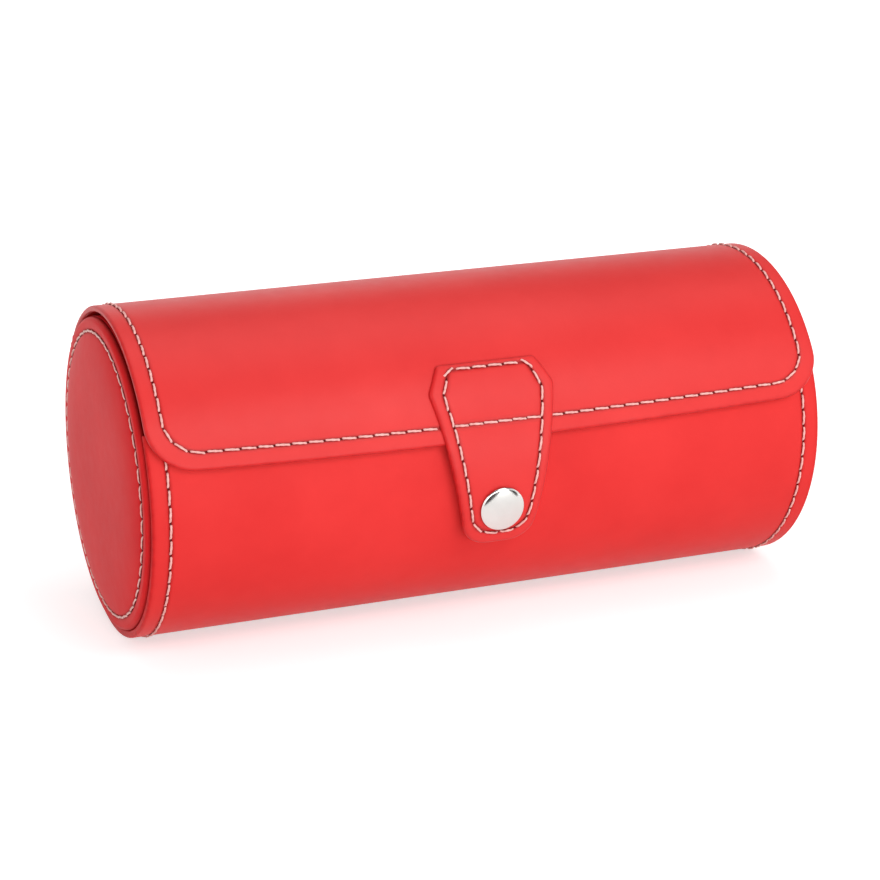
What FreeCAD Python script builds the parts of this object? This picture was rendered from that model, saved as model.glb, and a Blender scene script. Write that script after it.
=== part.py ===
import FreeCAD, Part
import Sketcher
import math
import os
import re

# Round watch roll, lying along X, front (snap side) towards -Y, resting on z = 0.
# Angles run round the roll's axis from the back (+Y, 0) over the top (90) to the front (180)
# and on under the case (270).

DIMENSIONS = {
    # Overall
    "case_length": 201.0,
    "base_radius": 46.5,
    "foot_width": 12.0,
    # Layers of the wall
    "leather": 0.7,
    "base_board": 1.05,
    "lid_board": 0.6,
    "lid_facing": 0.4,
    "foam": 2.4,
    "lining": 0.5,
    "glue": 0.05,
    "clearance": 0.6,
    # How far cutting shapes run past what they cut
    "overshoot": 1.0,
    # Angles of the edges, above the horizontal at the front or at the back
    "lip_angle": 30.0,
    "flap_angle": 15.0,
    "hinge_angle": 40.0,
    "hinge_half_angle": 2.5,
    "flap_corner": 13.0,
    "flap_bow": 2.1,
    # How far the boards stop short of the hinge, and the lid's padding short of the base's lip
    "board_setback": 0.8,
    "pad_setback": 2.0,
    # Ends
    "end_recess": 1.0,
    "end_board": 2.5,
    "end_proud": 1.2,
    "end_crown": 1.9,
    "end_gap": 0.45,
    "end_leather": 0.8,
    "end_round": 1.6,
    "end_lining": 0.6,
    # Dividers
    "divider_gap": 0.3,
    "divider_board": 2.0,
    "divider_velvet": 0.5,
    "divider_top": 18.0,
    "divider_corner": 8.0,
    # Watch pillows
    "pillow_width": 62.0,
    "pillow_height": 52.0,
    "pillow_corner": 24.0,
    "pillow_length": 56.0,
    "pillow_velvet": 0.8,
    "pillow_cap": 1.5,
    "pillow_rest": 0.3,
    # Tab, as angles above the horizontal at the front and half widths
    "tab_offset": -1.6,
    "tab_leather": 1.2,
    "tab_backing": 0.8,
    "tab_top_angle": 42.2,
    "tab_wide_angle": 32.4,
    "tab_end_angle": 21.7,
    "tab_bend_half_angle": 3.0,
    "tab_top_half": 14.7,
    "tab_wide_half": 18.7,
    "tab_end_half": 9.6,
    "tab_top_round": 1.5,
    "tab_wide_round": 3.0,
    "tab_end_round": 10.0,
    "tab_margin_angle": 9.0,
    # Snap
    "snap_angle": 7.8,
    "cap_radius": 6.5,
    "cap_height": 1.9,
    "cap_edge": 0.5,
    "cap_dome": 1.3,
    "cap_gap": 0.2,
    "shank_gap": 0.1,
    "socket_radius": 5.0,
    "socket_wall": 0.6,
    "socket_bore": 2.6,
    "socket_flange": 1.1,
    "spring_wire": 0.3,
    "ball_radius": 2.0,
    "ball_height": 1.3,
    "neck_radius": 1.5,
    "stud_flange": 4.2,
    "stud_plate": 0.3,
    "post_radius": 1.0,
    "post_flange": 3.6,
    "post_plate": 0.6,
    # Stitching
    "seam_inset": 5.0,
    "seam_setback": 0.8,
    "end_seam_inset": 3.9,
    "tab_seam_inset": 4.0,
    "tab_top_inset": 2.0,
    "seam_corner": 9.5,
    "stitch_pitch": 4.7,
    "stitch_length": 3.6,
    "stitch_width": 0.8,
    "stitch_height": 0.25,
}

doc = FreeCAD.newDocument("WatchRoll")
sheet = doc.addObject("Spreadsheet::Sheet", "Dims")
for row, (alias, number) in enumerate(DIMENSIONS.items(), start=1):
    sheet.set(f"A{row}", alias)
    sheet.set(f"B{row}", str(number))
    sheet.setAlias(f"B{row}", alias)
doc.recompute()

derived = doc.addObject("App::FeaturePython", "Derived")
derived_names = []
parts = []
derived.addProperty("App::PropertyFloat", "reading")


def formula(text):
    """Spell out which sheet or object each named size in a formula belongs to."""
    def spell(match):
        word = match.group(0)
        if word in DIMENSIONS:
            return "Dims." + word
        if word in derived_names:
            return "Derived." + word
        return word
    return re.sub(r"[A-Za-z_]\w*", spell, text)


def derive(name, text):
    """A size that follows from the driving dimensions."""
    derived.addProperty("App::PropertyFloat", name)
    derived.setExpression(name, formula(text))
    derived_names.append(name)


def size(text):
    """The number that a formula of named sizes comes to."""
    derived.setExpression("reading", formula(text))
    derived.recompute()
    return derived.reading


def bind(item, **formulas):
    for prop, text in formulas.items():
        item.setExpression(prop.replace("__", "."), formula(text))
    return item


def keep(item, node):
    """Mark an object as one sub-part of the case."""
    item.Label = node
    parts.append(item)
    return item


derive("axis_height", "sqrt(base_radius ^ 2 - foot_width ^ 2 / 4)")
derive("half_length", "case_length / 2")
derive("degree", "180 / pi")
# Base layers, from the outside in
derive("base_wall_in", "base_radius - leather")
derive("base_board_out", "base_wall_in - glue")
derive("base_board_in", "base_board_out - base_board")
derive("base_foam_out", "base_board_in - glue")
derive("base_foam_in", "base_foam_out - foam")
derive("base_lining_out", "base_foam_in - glue")
derive("trough_radius", "base_lining_out - lining")
# The lid is a larger circle, set forward so that it is flush at the hinge and clears the base's lip
derive("lid_wall", "leather + lid_board + lid_facing + 2 * glue")
derive("lid_shift", "(lid_wall + clearance) / (cos(lip_angle) + cos(hinge_angle))")
derive("lid_radius", "base_radius + lid_shift * cos(hinge_angle)")
derive("lid_wall_in", "lid_radius - leather")
derive("lid_board_out", "lid_wall_in - glue")
derive("lid_board_in", "lid_board_out - lid_board")
derive("lid_facing_out", "lid_board_in - glue")
derive("lid_facing_in", "lid_facing_out - lid_facing")
derive("lid_foam_out", "lid_facing_in - glue")
derive("lid_foam_in", "lid_foam_out - foam")
derive("lid_lining_out", "lid_foam_in - glue")
derive("lid_lining_in", "lid_lining_out - lining")
# The flap's front edge is an arc, lowest in the middle
derive("flap_edge", "axis_height + lid_radius * sin(flap_angle) + glue")
derive("bow_radius", "(half_length ^ 2 + flap_bow ^ 2) / (2 * flap_bow)")
derive("corner_rise", "flap_bow * ((half_length - flap_corner) / half_length) ^ 2")
# Where each layer starts and stops round the axis
derive("leather_turn", "leather / base_radius * degree")
derive("glue_turn", "glue / base_radius * degree")
derive("lining_turn", "lining / trough_radius * degree")
derive("setback_turn", "board_setback / base_radius * degree")
derive("seam_turn", "seam_setback / base_radius * degree")
derive("base_start", "180 - lip_angle")
derive("base_stop", "360 + hinge_angle - hinge_half_angle")
derive("hinge_stop", "hinge_angle + hinge_half_angle")
derive("lid_start", "atan2(base_radius * sin(hinge_stop); base_radius * cos(hinge_stop) + lid_shift)")
derive("lid_stop", "180 - flap_angle")
derive("base_board_start", "base_start + leather_turn + glue_turn")
derive("base_board_stop", "base_stop - setback_turn")
derive("lid_board_start", "lid_start + setback_turn")
derive("lid_board_stop", "lid_stop - leather_turn - glue_turn")
derive("base_pad_start", "base_start + lining_turn")
derive("base_pad_stop", "base_board_stop - lining_turn")
derive("lid_pad_start", "lid_board_start + lining_turn")
derive("lid_pad_stop", "base_start - (pad_setback + clearance) / trough_radius * degree")
# Ends and what lies between them
derive("end_face", "half_length - end_recess")
derive("end_board_radius", "base_board_in - end_gap + 2 * glue")
derive("end_cover_radius", "base_board_in - end_gap")
derive("end_cover_depth", "end_recess + end_proud - glue")
derive("end_bevel", "end_round * (1 - cos(45))")
derive("end_ring", "end_cover_radius - end_seam_inset")
derive("crown_radius", "end_ring - stitch_width")
derive("inner_face", "end_face - end_board")
derive("compartment_end", "inner_face - end_lining - glue")
derive("pad_length", "2 * (inner_face - glue)")
derive("lid_pad_length", "2 * (compartment_end - 2 * clearance)")
derive("divider_thick", "divider_board + 2 * divider_velvet + 2 * glue")
derive("compartment", "(2 * compartment_end - 2 * divider_thick) / 3")
derive("divider_place", "(compartment + divider_thick) / 2")
derive("pillow_pitch", "compartment + divider_thick")
derive("divider_radius", "trough_radius - divider_gap")
derive("pillow_reach", "trough_radius - pillow_rest - pillow_corner")
derive("pillow_low", "sqrt(pillow_reach ^ 2 - (pillow_width / 2 - pillow_corner) ^ 2)")
derive("pillow_middle", "pillow_height / 2 - pillow_corner - pillow_low")
# Tab and snap
derive("tab_in", "lid_radius + glue")
derive("tab_out", "tab_in + tab_leather")
derive("backing_out", "tab_in - glue")
derive("backing_in", "backing_out - tab_backing")
derive("bend_start", "lid_stop - tab_bend_half_angle")
derive("bend_stop", "lid_stop + tab_bend_half_angle")
derive("tab_start", "180 - tab_top_angle - tab_margin_angle")
derive("tab_stop", "180 + tab_end_angle + tab_margin_angle")
derive("snap_reach", "lid_shift * cos(snap_angle)")
derive("cap_seat", "tab_out + snap_reach")
derive("backing_face", "backing_in + snap_reach")
derive("socket_seat", "backing_face - socket_radius ^ 2 / (2 * backing_in) - glue")
derive("socket_face", "backing_face - socket_flange")
derive("post_seat", "base_foam_out - post_flange ^ 2 / (2 * base_board_in)")
derive("collar_radius", "socket_bore + socket_wall")
derive("cap_shank", "socket_bore - shank_gap")
derive("ball_top", "cap_seat - tab_leather")
derive("ball_low", "ball_top - ball_height")
doc.recompute()


# Building blocks

def wedge(name, radius, length, start="0", stop="360", shift="0"):
    """Part of a cylinder along X, round from one angle to another."""
    piece = doc.addObject("Part::Cylinder", name)
    bind(piece, Radius=radius, Height=length, Angle=f"{stop} - ({start})")
    bind(piece, Placement__Rotation=f"rotation(90; -({start}); 90)")
    bind(piece, Placement__Base=f"vector(-({length}) / 2; -({shift}); axis_height)")
    return piece


def cut(name, first, *tools):
    for count, tool in enumerate(tools):
        piece = doc.addObject("Part::Cut", f"{name}_{count}")
        piece.Base = first
        piece.Tool = tool
        first = piece
    return first


def common(name, first, second):
    piece = doc.addObject("Part::Common", name)
    piece.Base = first
    piece.Tool = second
    return piece


def shell(name, outer, inner, length, start, stop, shift="0"):
    """A curved sheet between two radii."""
    solid = wedge(name + "_outer", outer, length, start, stop, shift)
    bore = wedge(name + "_bore", inner, f"{length} + 2 * overshoot", shift=shift)
    return cut(name, solid, bore)


def snap_hole(name, radius):
    """A cylinder along the snap's axis, for the holes that the snap is set in."""
    piece = doc.addObject("Part::Cylinder", name)
    bind(piece, Radius=radius, Height="2 * base_radius")
    bind(piece, Placement__Rotation=SNAP_TURN, Placement__Base=AXIS_POINT)
    return piece


def new_sketch(body, name, role):
    """A sketch on one of a body's own planes."""
    sketch = body.newObject("Sketcher::SketchObject", name)
    planes = {item.Role: item for item in body.Origin.OriginFeatures}
    sketch.AttachmentSupport = [(planes[role], "")]
    sketch.MapMode = "FlatFace"
    return sketch


def polygon(sketch, corners):
    """A closed outline whose corners are pairs of formulas."""
    first = sketch.GeometryCount
    count = len(corners)
    points = [FreeCAD.Vector(size(across), size(up), 0) for across, up in corners]
    for side in range(count):
        sketch.addGeometry(Part.LineSegment(points[side], points[(side + 1) % count]))
    for side in range(count):
        following = first + (side + 1) % count
        sketch.addConstraint(Sketcher.Constraint("Coincident", first + side, 2, following, 1))
    for side, (across, up) in enumerate(corners):
        spots = (("DistanceX", across, points[side].x), ("DistanceY", up, points[side].y))
        for kind, text, guess in spots:
            place = sketch.addConstraint(Sketcher.Constraint(kind, -1, 1, first + side, 1, guess))
            sketch.setExpression(f"Constraints[{place}]", formula(text))


def padded_body(name, role, corners, length):
    """A body padded from one outline."""
    body = doc.addObject("PartDesign::Body", name)
    sketch = new_sketch(body, name + "_outline", role)
    polygon(sketch, corners)
    feature = body.newObject("PartDesign::Pad", name + "_pad")
    feature.Profile = sketch
    bind(feature, Length=length)
    doc.recompute()
    return body, feature


def round_edges(body, name, direction, wanted, radius):
    """Fillet the straight edges along a direction that pass a test of their middle point."""
    feature = body.Tip
    names = []
    for count, edge in enumerate(feature.Shape.Edges, start=1):
        if not isinstance(edge.Curve, Part.Line):
            continue
        lies_along = edge.tangentAt(edge.FirstParameter).cross(direction).Length < PARALLEL
        if lies_along and wanted(edge.CenterOfMass):
            names.append(f"Edge{count}")
    rounding = body.newObject("PartDesign::Fillet", name)
    rounding.Base = (feature, names)
    bind(rounding, Radius=radius)
    doc.recompute()


def turned_piece(node, corners, turned, place):
    """A piece turned about an axis; corners are radius and distance along the axis."""
    body = doc.addObject("PartDesign::Body", node + "_body")
    sketch = new_sketch(body, node + "_profile", "XZ_Plane")
    polygon(sketch, corners)
    turn = body.newObject("PartDesign::Revolution", node + "_turn")
    turn.Profile = sketch
    turn.ReferenceAxis = (sketch, ["V_Axis"])
    turn.Angle = 360
    bind(body, Placement__Rotation=turned, Placement__Base=place)
    doc.recompute()
    return body


# Wall layers

def base_wall():
    solid = wedge("base_wrap", "base_radius", "case_length", "base_start", "base_stop")
    bore = wedge("base_wrap_bore", "base_board_in", "case_length + 2 * overshoot")
    channel = wedge("base_channel", "base_wall_in", "case_length - 2 * leather",
                    "base_start + leather_turn", "base_stop + hinge_half_angle")
    foot = doc.addObject("Part::Box", "foot_cut")
    bind(foot, Length="case_length + 2 * overshoot", Width="2 * foot_width", Height="base_radius")
    bind(foot, Placement__Base="vector(-half_length - overshoot; -foot_width; -base_radius)")
    post_hole = snap_hole("post_hole", "post_radius + glue")
    keep(cut("base_leather_cut", solid, bore, channel, foot, post_hole), "base_leather")
    board = shell("base_board_shell", "base_board_out", "base_board_in",
                  "case_length - 2 * leather - 2 * glue", "base_board_start", "base_board_stop")
    keep(cut("base_board_cut", board, post_hole), "base_board")
    foam = shell("base_foam_shell", "base_foam_out", "base_foam_in", "pad_length",
                 "base_pad_start", "base_pad_stop")
    keep(cut("base_foam_cut", foam, snap_hole("post_pocket", "post_flange + glue")), "base_foam")
    cover = shell("base_lining_shell", "base_foam_out", "trough_radius", "pad_length",
                  "base_start", "base_board_stop")
    hollow = shell("base_lining_hollow", "base_foam_out + overshoot", "base_lining_out",
                   "pad_length + 2 * overshoot", "base_pad_start - glue_turn", "base_pad_stop + glue_turn")
    keep(cut("base_lining_cut", cover, hollow), "base_lining")


def flap_corners(name, inset):
    """What is taken off the flap's bowed front edge and its two corners, seen from the front."""
    low = "(flap_edge + corner_rise)"
    forward = "-lid_radius - lid_wall"
    below = doc.addObject("Part::Box", f"{name}_edge_block")
    bind(below, Length="case_length + 2 * overshoot", Width="lid_radius", Height="flap_bow + 4 * overshoot")
    bind(below, Placement__Base=f"vector(-half_length - overshoot; {forward}; flap_edge - 2 * overshoot)")
    bow = doc.addObject("Part::Cylinder", f"{name}_edge_arc")
    bind(bow, Radius=f"bow_radius - ({inset})", Height="2 * lid_radius")
    bind(bow, Placement__Rotation="rotation(0; 0; 90)")
    bind(bow, Placement__Base="vector(0; 0; flap_edge + bow_radius)")
    cutters = [cut(f"{name}_edge", below, bow)]
    past = "flap_corner + 2 * overshoot"
    places = (("left", -1, "-half_length - 2 * overshoot"), ("right", 1, "half_length - flap_corner"))
    for side, sign, corner in places:
        block = doc.addObject("Part::Box", f"{name}_{side}_block")
        bind(block, Length=past, Width="lid_radius", Height=past)
        bind(block, Placement__Base=f"vector({corner}; {forward}; {low} - 2 * overshoot)")
        arc = doc.addObject("Part::Cylinder", f"{name}_{side}_arc")
        bind(arc, Radius=f"flap_corner - ({inset})", Height="2 * lid_radius")
        bind(arc, Placement__Rotation="rotation(0; 0; 90)")
        middle = f"{sign} * (half_length - flap_corner)"
        bind(arc, Placement__Base=f"vector({middle}; 0; {low} + flap_corner)")
        cutters.append(cut(f"{name}_{side}", block, arc))
    return cutters


def lid_wall():
    core_length = "case_length - 2 * leather"
    solid = wedge("lid_wrap", "lid_radius", "case_length", "lid_start", "lid_stop", "lid_shift")
    bore = wedge("lid_wrap_bore", "lid_facing_in", "case_length + 2 * overshoot", shift="lid_shift")
    core = wedge("lid_core", "lid_wall_in", core_length, "lid_start - hinge_half_angle",
                 "lid_stop - leather_turn", "lid_shift")
    core = cut("lid_core_rounded", core, *flap_corners("core_corner", "leather"))
    wrap = cut("lid_wrap_rounded", solid, bore, *flap_corners("flap_corner", "0"))
    keep(cut("lid_leather_cut", wrap, core), "lid_leather")
    corners = flap_corners("board_corner", "leather + glue")
    for node in ("lid_board", "lid_facing"):
        layer = shell(node + "_shell", node + "_out", node + "_in", f"{core_length} - 2 * glue",
                      "lid_board_start", "lid_board_stop", "lid_shift")
        keep(cut(node + "_cut", layer, *corners), node)
    foam = shell("lid_foam_shell", "lid_foam_out", "lid_foam_in", "lid_pad_length - 2 * lining",
                 "lid_pad_start", "lid_pad_stop", "lid_shift")
    keep(foam, "lid_foam")
    cover = shell("lid_lining_shell", "lid_foam_out", "lid_lining_in", "lid_pad_length",
                  "lid_pad_start - lining_turn", "lid_pad_stop + lining_turn", "lid_shift")
    hollow = shell("lid_lining_hollow", "lid_foam_out + overshoot", "lid_lining_out",
                   "lid_pad_length - 2 * lining + 2 * glue",
                   "lid_pad_start - glue_turn", "lid_pad_stop + glue_turn", "lid_shift")
    keep(cut("lid_lining_cut", cover, hollow), "lid_lining")


def hinge():
    """The stretch of leather with no board in it, which folds, and the velvet behind it."""
    start = "base_stop - 360 + glue_turn"
    stop = "hinge_stop - glue_turn"
    keep(shell("hinge_shell", "base_radius", "base_wall_in", "case_length", start, stop), "hinge_leather")
    lined = shell("hinge_lining_shell", "base_board_out", "base_board_out - lining", "pad_length",
                  f"{start} - setback_turn / 2", f"{stop} + setback_turn / 2")
    keep(lined, "hinge_lining")


# Ends

def ends():
    for side, sign in (("left", -1), ("right", 1)):
        discs = (("end_board", "end_board_radius", "end_board", "end_face - end_board"),
                 ("end_lining", "divider_radius", "end_lining", "inner_face - end_lining - glue"))
        for piece, radius, thick, place in discs:
            disc = doc.addObject("Part::Cylinder", f"{side}_{piece}_disc")
            bind(disc, Radius=radius, Height=thick)
            bind(disc, Placement__Rotation=f"rotation(0; {90 * sign}; 0)")
            bind(disc, Placement__Base=f"vector({sign} * ({place}); 0; axis_height)")
            keep(disc, f"{side}_{piece}")
        padded_end(side, sign)


def crown(height):
    """The plump face inside the seam ring, from the axis out: radius and height above a level."""
    return [(f"crown_radius * {share}", f"{height} + end_crown * (1 - {share} ^ {CROWN_POWER})")
            for share in CROWN_SHARES]


def padded_end(side, sign):
    """A leather cup over crowned padding, its margin rounded, open towards the board."""
    inside = "end_cover_radius - end_leather"
    roof = "end_cover_depth - end_leather"
    place = f"vector({sign} * (end_face + glue); 0; axis_height)"
    turn = f"rotation(0; {90 * sign}; 0)"
    cover = crown(roof) + [(inside, roof), (inside, "0"), ("end_cover_radius", "0"),
                           ("end_cover_radius", "end_cover_depth - end_round"),
                           ("end_cover_radius - end_bevel", "end_cover_depth - end_bevel"),
                           ("end_cover_radius - end_round", "end_cover_depth")]
    cover += crown("end_cover_depth")[::-1]
    keep(turned_piece(f"{side}_end_cover", cover, turn, place), f"{side}_end_cover")
    rim = f"{inside} - glue"
    top = f"{roof} - glue"
    stuffed = crown(top) + [(rim, top), (rim, "0"), ("0", "0")]
    keep(turned_piece(f"{side}_end_padding", stuffed, turn, place), f"{side}_end_padding")


# Inside

def divider_plate(name, radius, top, thick, place):
    """A round plate with its top cut level and the two top corners rounded."""
    body = doc.addObject("PartDesign::Body", name)
    sketch = new_sketch(body, name + "_circle", "YZ_Plane")
    centre = FreeCAD.Vector(0, 0, 0)
    sketch.addGeometry(Part.Circle(centre, Z_AXIS, size(radius)))
    sketch.addConstraint(Sketcher.Constraint("Coincident", 0, 3, -1, 1))
    place_radius = sketch.addConstraint(Sketcher.Constraint("Radius", 0, size(radius)))
    sketch.setExpression(f"Constraints[{place_radius}]", formula(radius))
    disc = body.newObject("PartDesign::Pad", name + "_pad")
    disc.Profile = sketch
    bind(disc, Length=thick)
    doc.recompute()
    full = disc.Shape.Volume
    above = new_sketch(body, name + "_above", "YZ_Plane")
    far = f"{radius} + overshoot"
    polygon(above, [(f"-({far})", top), (far, top), (far, far), (f"-({far})", far)])
    pocket = body.newObject("PartDesign::Pocket", name + "_level")
    pocket.Profile = above
    pocket.Type = "ThroughAll"
    pocket.Reversed = True
    doc.recompute()
    if pocket.Shape.Volume > full - 1:
        raise RuntimeError(name + ": the top was not cut level")
    round_edges(body, name + "_round", X_AXIS, lambda middle: True, "divider_corner")
    bind(body, Placement__Base=f"vector({place} - ({thick}) / 2; 0; axis_height)")
    return body


def dividers():
    for side, sign in (("left", -1), ("right", 1)):
        place = f"{sign} * divider_place"
        board = divider_plate(f"{side}_divider_plate", "divider_radius",
                              "divider_top - divider_velvet - glue", "divider_board", place)
        keep(board, f"{side}_divider_board")
        outside = divider_plate(f"{side}_divider_outside", "divider_radius", "divider_top",
                                "divider_thick", place)
        inside = divider_plate(f"{side}_divider_inside", "trough_radius", "divider_top - divider_velvet",
                               "divider_board + 2 * glue", place)
        keep(cut(f"{side}_divider_pouch", outside, inside), f"{side}_divider_cover")


def rounded_block(name, width, height, corner, length, place):
    """A block along X whose four long edges are rounded."""
    corners = [(f"-({width}) / 2", f"-({height}) / 2"), (f"({width}) / 2", f"-({height}) / 2"),
               (f"({width}) / 2", f"({height}) / 2"), (f"-({width}) / 2", f"({height}) / 2")]
    body, _ = padded_body(name, "YZ_Plane", corners, length)
    round_edges(body, name + "_round", X_AXIS, lambda middle: True, corner)
    bind(body, Placement__Base=f"vector({place} - ({length}) / 2; 0; axis_height + pillow_middle)")
    return body


def pillows():
    skin = "2 * (pillow_velvet + glue)"
    for name, count in (("left", -1), ("middle", 0), ("right", 1)):
        place = f"{count} * pillow_pitch"
        core = rounded_block(f"{name}_core", f"pillow_width - {skin}", f"pillow_height - {skin}",
                             "pillow_corner - pillow_velvet - glue",
                             "pillow_length - 2 * pillow_cap - 2 * glue", place)
        keep(core, f"{name}_pillow_core")
        outside = rounded_block(f"{name}_outside", "pillow_width", "pillow_height", "pillow_corner",
                                "pillow_length - 2 * pillow_cap", place)
        inside = rounded_block(f"{name}_inside", "pillow_width - 2 * pillow_velvet",
                               "pillow_height - 2 * pillow_velvet", "pillow_corner - pillow_velvet",
                               "pillow_length", place)
        keep(cut(f"{name}_tube", outside, inside), f"{name}_pillow_sleeve")
        reach = "(pillow_length - pillow_cap + glue) / 2"
        caps = [rounded_block(f"{name}_cap_{side}", "pillow_width", "pillow_height", "pillow_corner",
                              "pillow_cap - glue", f"{place} + {sign} * {reach}")
                for side, sign in (("a", -1), ("b", 1))]
        pair = doc.addObject("Part::Compound", f"{name}_caps")
        pair.Links = caps
        keep(pair, f"{name}_pillow_caps")


# Tab and snap

def tab():
    """The tab follows the lid's curve; its outline is drawn as seen from the front."""
    reach = "(lid_radius + tab_leather / 2)"
    top = f"{reach} * sin(tab_top_angle)"
    wide = f"{reach} * sin(tab_wide_angle)"
    end = f"-{reach} * sin(tab_end_angle)"
    corners = [("-tab_end_half", end), ("tab_end_half", end), ("tab_wide_half", wide),
               ("tab_top_half", top), ("-tab_top_half", top), ("-tab_wide_half", wide)]
    outline, _ = padded_body("tab_outline", "XZ_Plane", corners, "2 * base_radius")
    level = size(wide)
    shoulder = (level + size(top)) / 2
    side_line = (size("tab_top_half") + size("tab_wide_half")) / 2
    round_edges(outline, "tab_top_corners", Y_AXIS, lambda p: p.z > shoulder, "tab_top_round")
    round_edges(outline, "tab_wide_corners", Y_AXIS, lambda p: abs(p.x) > side_line, "tab_wide_round")
    round_edges(outline, "tab_end_corners", Y_AXIS, lambda p: p.z < 0, "tab_end_round")
    bind(outline, Placement__Base=AXIS_POINT)
    layers = (("tab_root", "tab_out", "tab_in", "tab_start", "bend_start - glue_turn"),
              ("tab_bend", "tab_out", "tab_in", "bend_start", "bend_stop"),
              ("tab_tongue", "tab_out", "tab_in", "bend_stop + glue_turn", "tab_stop"),
              ("tab_backing", "backing_out", "backing_in", "bend_stop + glue_turn", "tab_stop"))
    hole = snap_hole("collar_hole", "collar_radius + glue")
    for node, outer, inner, start, stop in layers:
        sheet_piece = shell(node + "_shell", outer, inner, "case_length", start, stop, "lid_shift")
        piece = common(node + "_outlined", sheet_piece, outline)
        if node in ("tab_tongue", "tab_backing"):
            piece = cut(node + "_holed", piece, hole)
        keep(piece, node)


def snap():
    """A ring-spring snap: cap and socket with its spring on the tab, stud and post on the base.

    Heights are distances from the roll's axis along the snap's axis."""
    cap = turned_piece("snap_cap", [
        ("0", "ball_top + cap_gap"), ("cap_shank", "ball_top + cap_gap"), ("cap_shank", "cap_seat + glue"),
        ("cap_radius", "cap_seat + glue"), ("cap_radius", "cap_seat + cap_edge"),
        ("cap_radius - cap_edge", "cap_seat + cap_dome"), ("cap_radius / 2", "cap_seat + cap_height"),
        ("0", "cap_seat + cap_height")], SNAP_TURN, AXIS_POINT)
    keep(cap, "snap_cap")
    socket = turned_piece("snap_socket", [
        ("socket_bore", "socket_face"), ("socket_radius", "socket_face"), ("socket_radius", "socket_seat"),
        ("collar_radius", "socket_seat"), ("collar_radius", "cap_seat - glue"),
        ("socket_bore", "cap_seat - glue")], SNAP_TURN, AXIS_POINT)
    keep(socket, "snap_socket")
    stud = turned_piece("snap_stud", [
        ("post_radius + glue", "base_radius + glue"), ("stud_flange", "base_radius + glue"),
        ("stud_flange", "base_radius + stud_plate"), ("neck_radius", "base_radius + stud_plate"),
        ("neck_radius", "ball_low"), ("ball_radius", "ball_low + ball_radius - neck_radius"),
        ("ball_radius", "ball_top - ball_radius + neck_radius"), ("neck_radius", "ball_top"),
        ("post_radius + glue", "ball_top")], SNAP_TURN, AXIS_POINT)
    keep(stud, "snap_stud")
    post = turned_piece("snap_post", [
        ("0", "post_seat - post_plate"), ("post_flange", "post_seat - post_plate"),
        ("post_flange", "post_seat"), ("post_radius", "post_seat"), ("post_radius", "ball_top - glue"),
        ("0", "ball_top - glue")], SNAP_TURN, AXIS_POINT)
    keep(post, "snap_post")
    spring = doc.addObject("Part::Torus", "snap_spring_ring")
    bind(spring, Radius1="socket_bore - spring_wire - glue", Radius2="spring_wire")
    bind(spring, Placement__Rotation=SNAP_TURN)
    height = "(ball_low - spring_wire - glue)"
    forward = f"-{height} * cos(snap_angle)"
    up = f"axis_height - {height} * sin(snap_angle)"
    bind(spring, Placement__Base=f"vector(tab_offset; {forward}; {up})")
    keep(spring, "snap_spring")


# Stitching

def stitch(point, along, up):
    """One stitch: a short bar lying on a surface."""
    across = up.cross(along)
    bar = Part.makeBox(LENGTH, WIDTH, HEIGHT, FreeCAD.Vector(-LENGTH / 2, -WIDTH / 2, size("glue")))
    bar.Placement = FreeCAD.Placement(point, FreeCAD.Rotation(along, across, up, "ZXY"))
    return bar


def stitch_places(wire):
    """Middles and directions of the stitches of a seam drawn on a flat sheet."""
    count = max(2, round(wire.Length / size("stitch_pitch")))
    ends = wire.discretize(Number=count + 1)
    return [((a + b) / 2, (b - a).normalize()) for a, b in zip(ends, ends[1:])]


def on_curve(wires, radius, shift, wanted, bow=0.0, offset=0.0):
    """Stitches of flat-drawn seams (x along the roll, y in millimetres round it) laid on a curved sheet."""
    bars = []
    half = size("half_length")
    for wire in wires:
        for middle, along in stitch_places(wire):
            turn = (middle.y - bow * (middle.x / half) ** 2) / radius
            if not wanted(middle.x, math.degrees(turn)):
                continue
            up = FreeCAD.Vector(0, math.cos(turn), math.sin(turn))
            ahead = FreeCAD.Vector(along.x, -along.y * math.sin(turn), along.y * math.cos(turn))
            point = up * radius + FreeCAD.Vector(middle.x + offset, -shift, size("axis_height"))
            bars.append(stitch(point, ahead, up))
    return bars


def add_stitches(node, bars):
    group = doc.addObject("Part::Feature", node + "_group")
    group.Shape = Part.makeCompound(bars)
    group.Placement = FreeCAD.Placement()
    keep(group, node)


def rounded_wire(points, radius):
    """A polyline on a flat sheet with its inner corners rounded."""
    edges = []
    start = points[0]
    for before, corner, after in zip(points, points[1:], points[2:]):
        back = (before - corner).normalize()
        ahead = (after - corner).normalize()
        half = back.getAngle(ahead) / 2
        run = radius / math.tan(half)
        bisector = (back + ahead).normalize()
        middle = corner + bisector * (radius / math.sin(half) - radius)
        edges.append(Part.makeLine(start, corner + back * run))
        edges.append(Part.Arc(corner + back * run, middle, corner + ahead * run).toShape())
        start = corner + ahead * run
    edges.append(Part.makeLine(start, points[-1]))
    return Part.Wire(edges)


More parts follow.
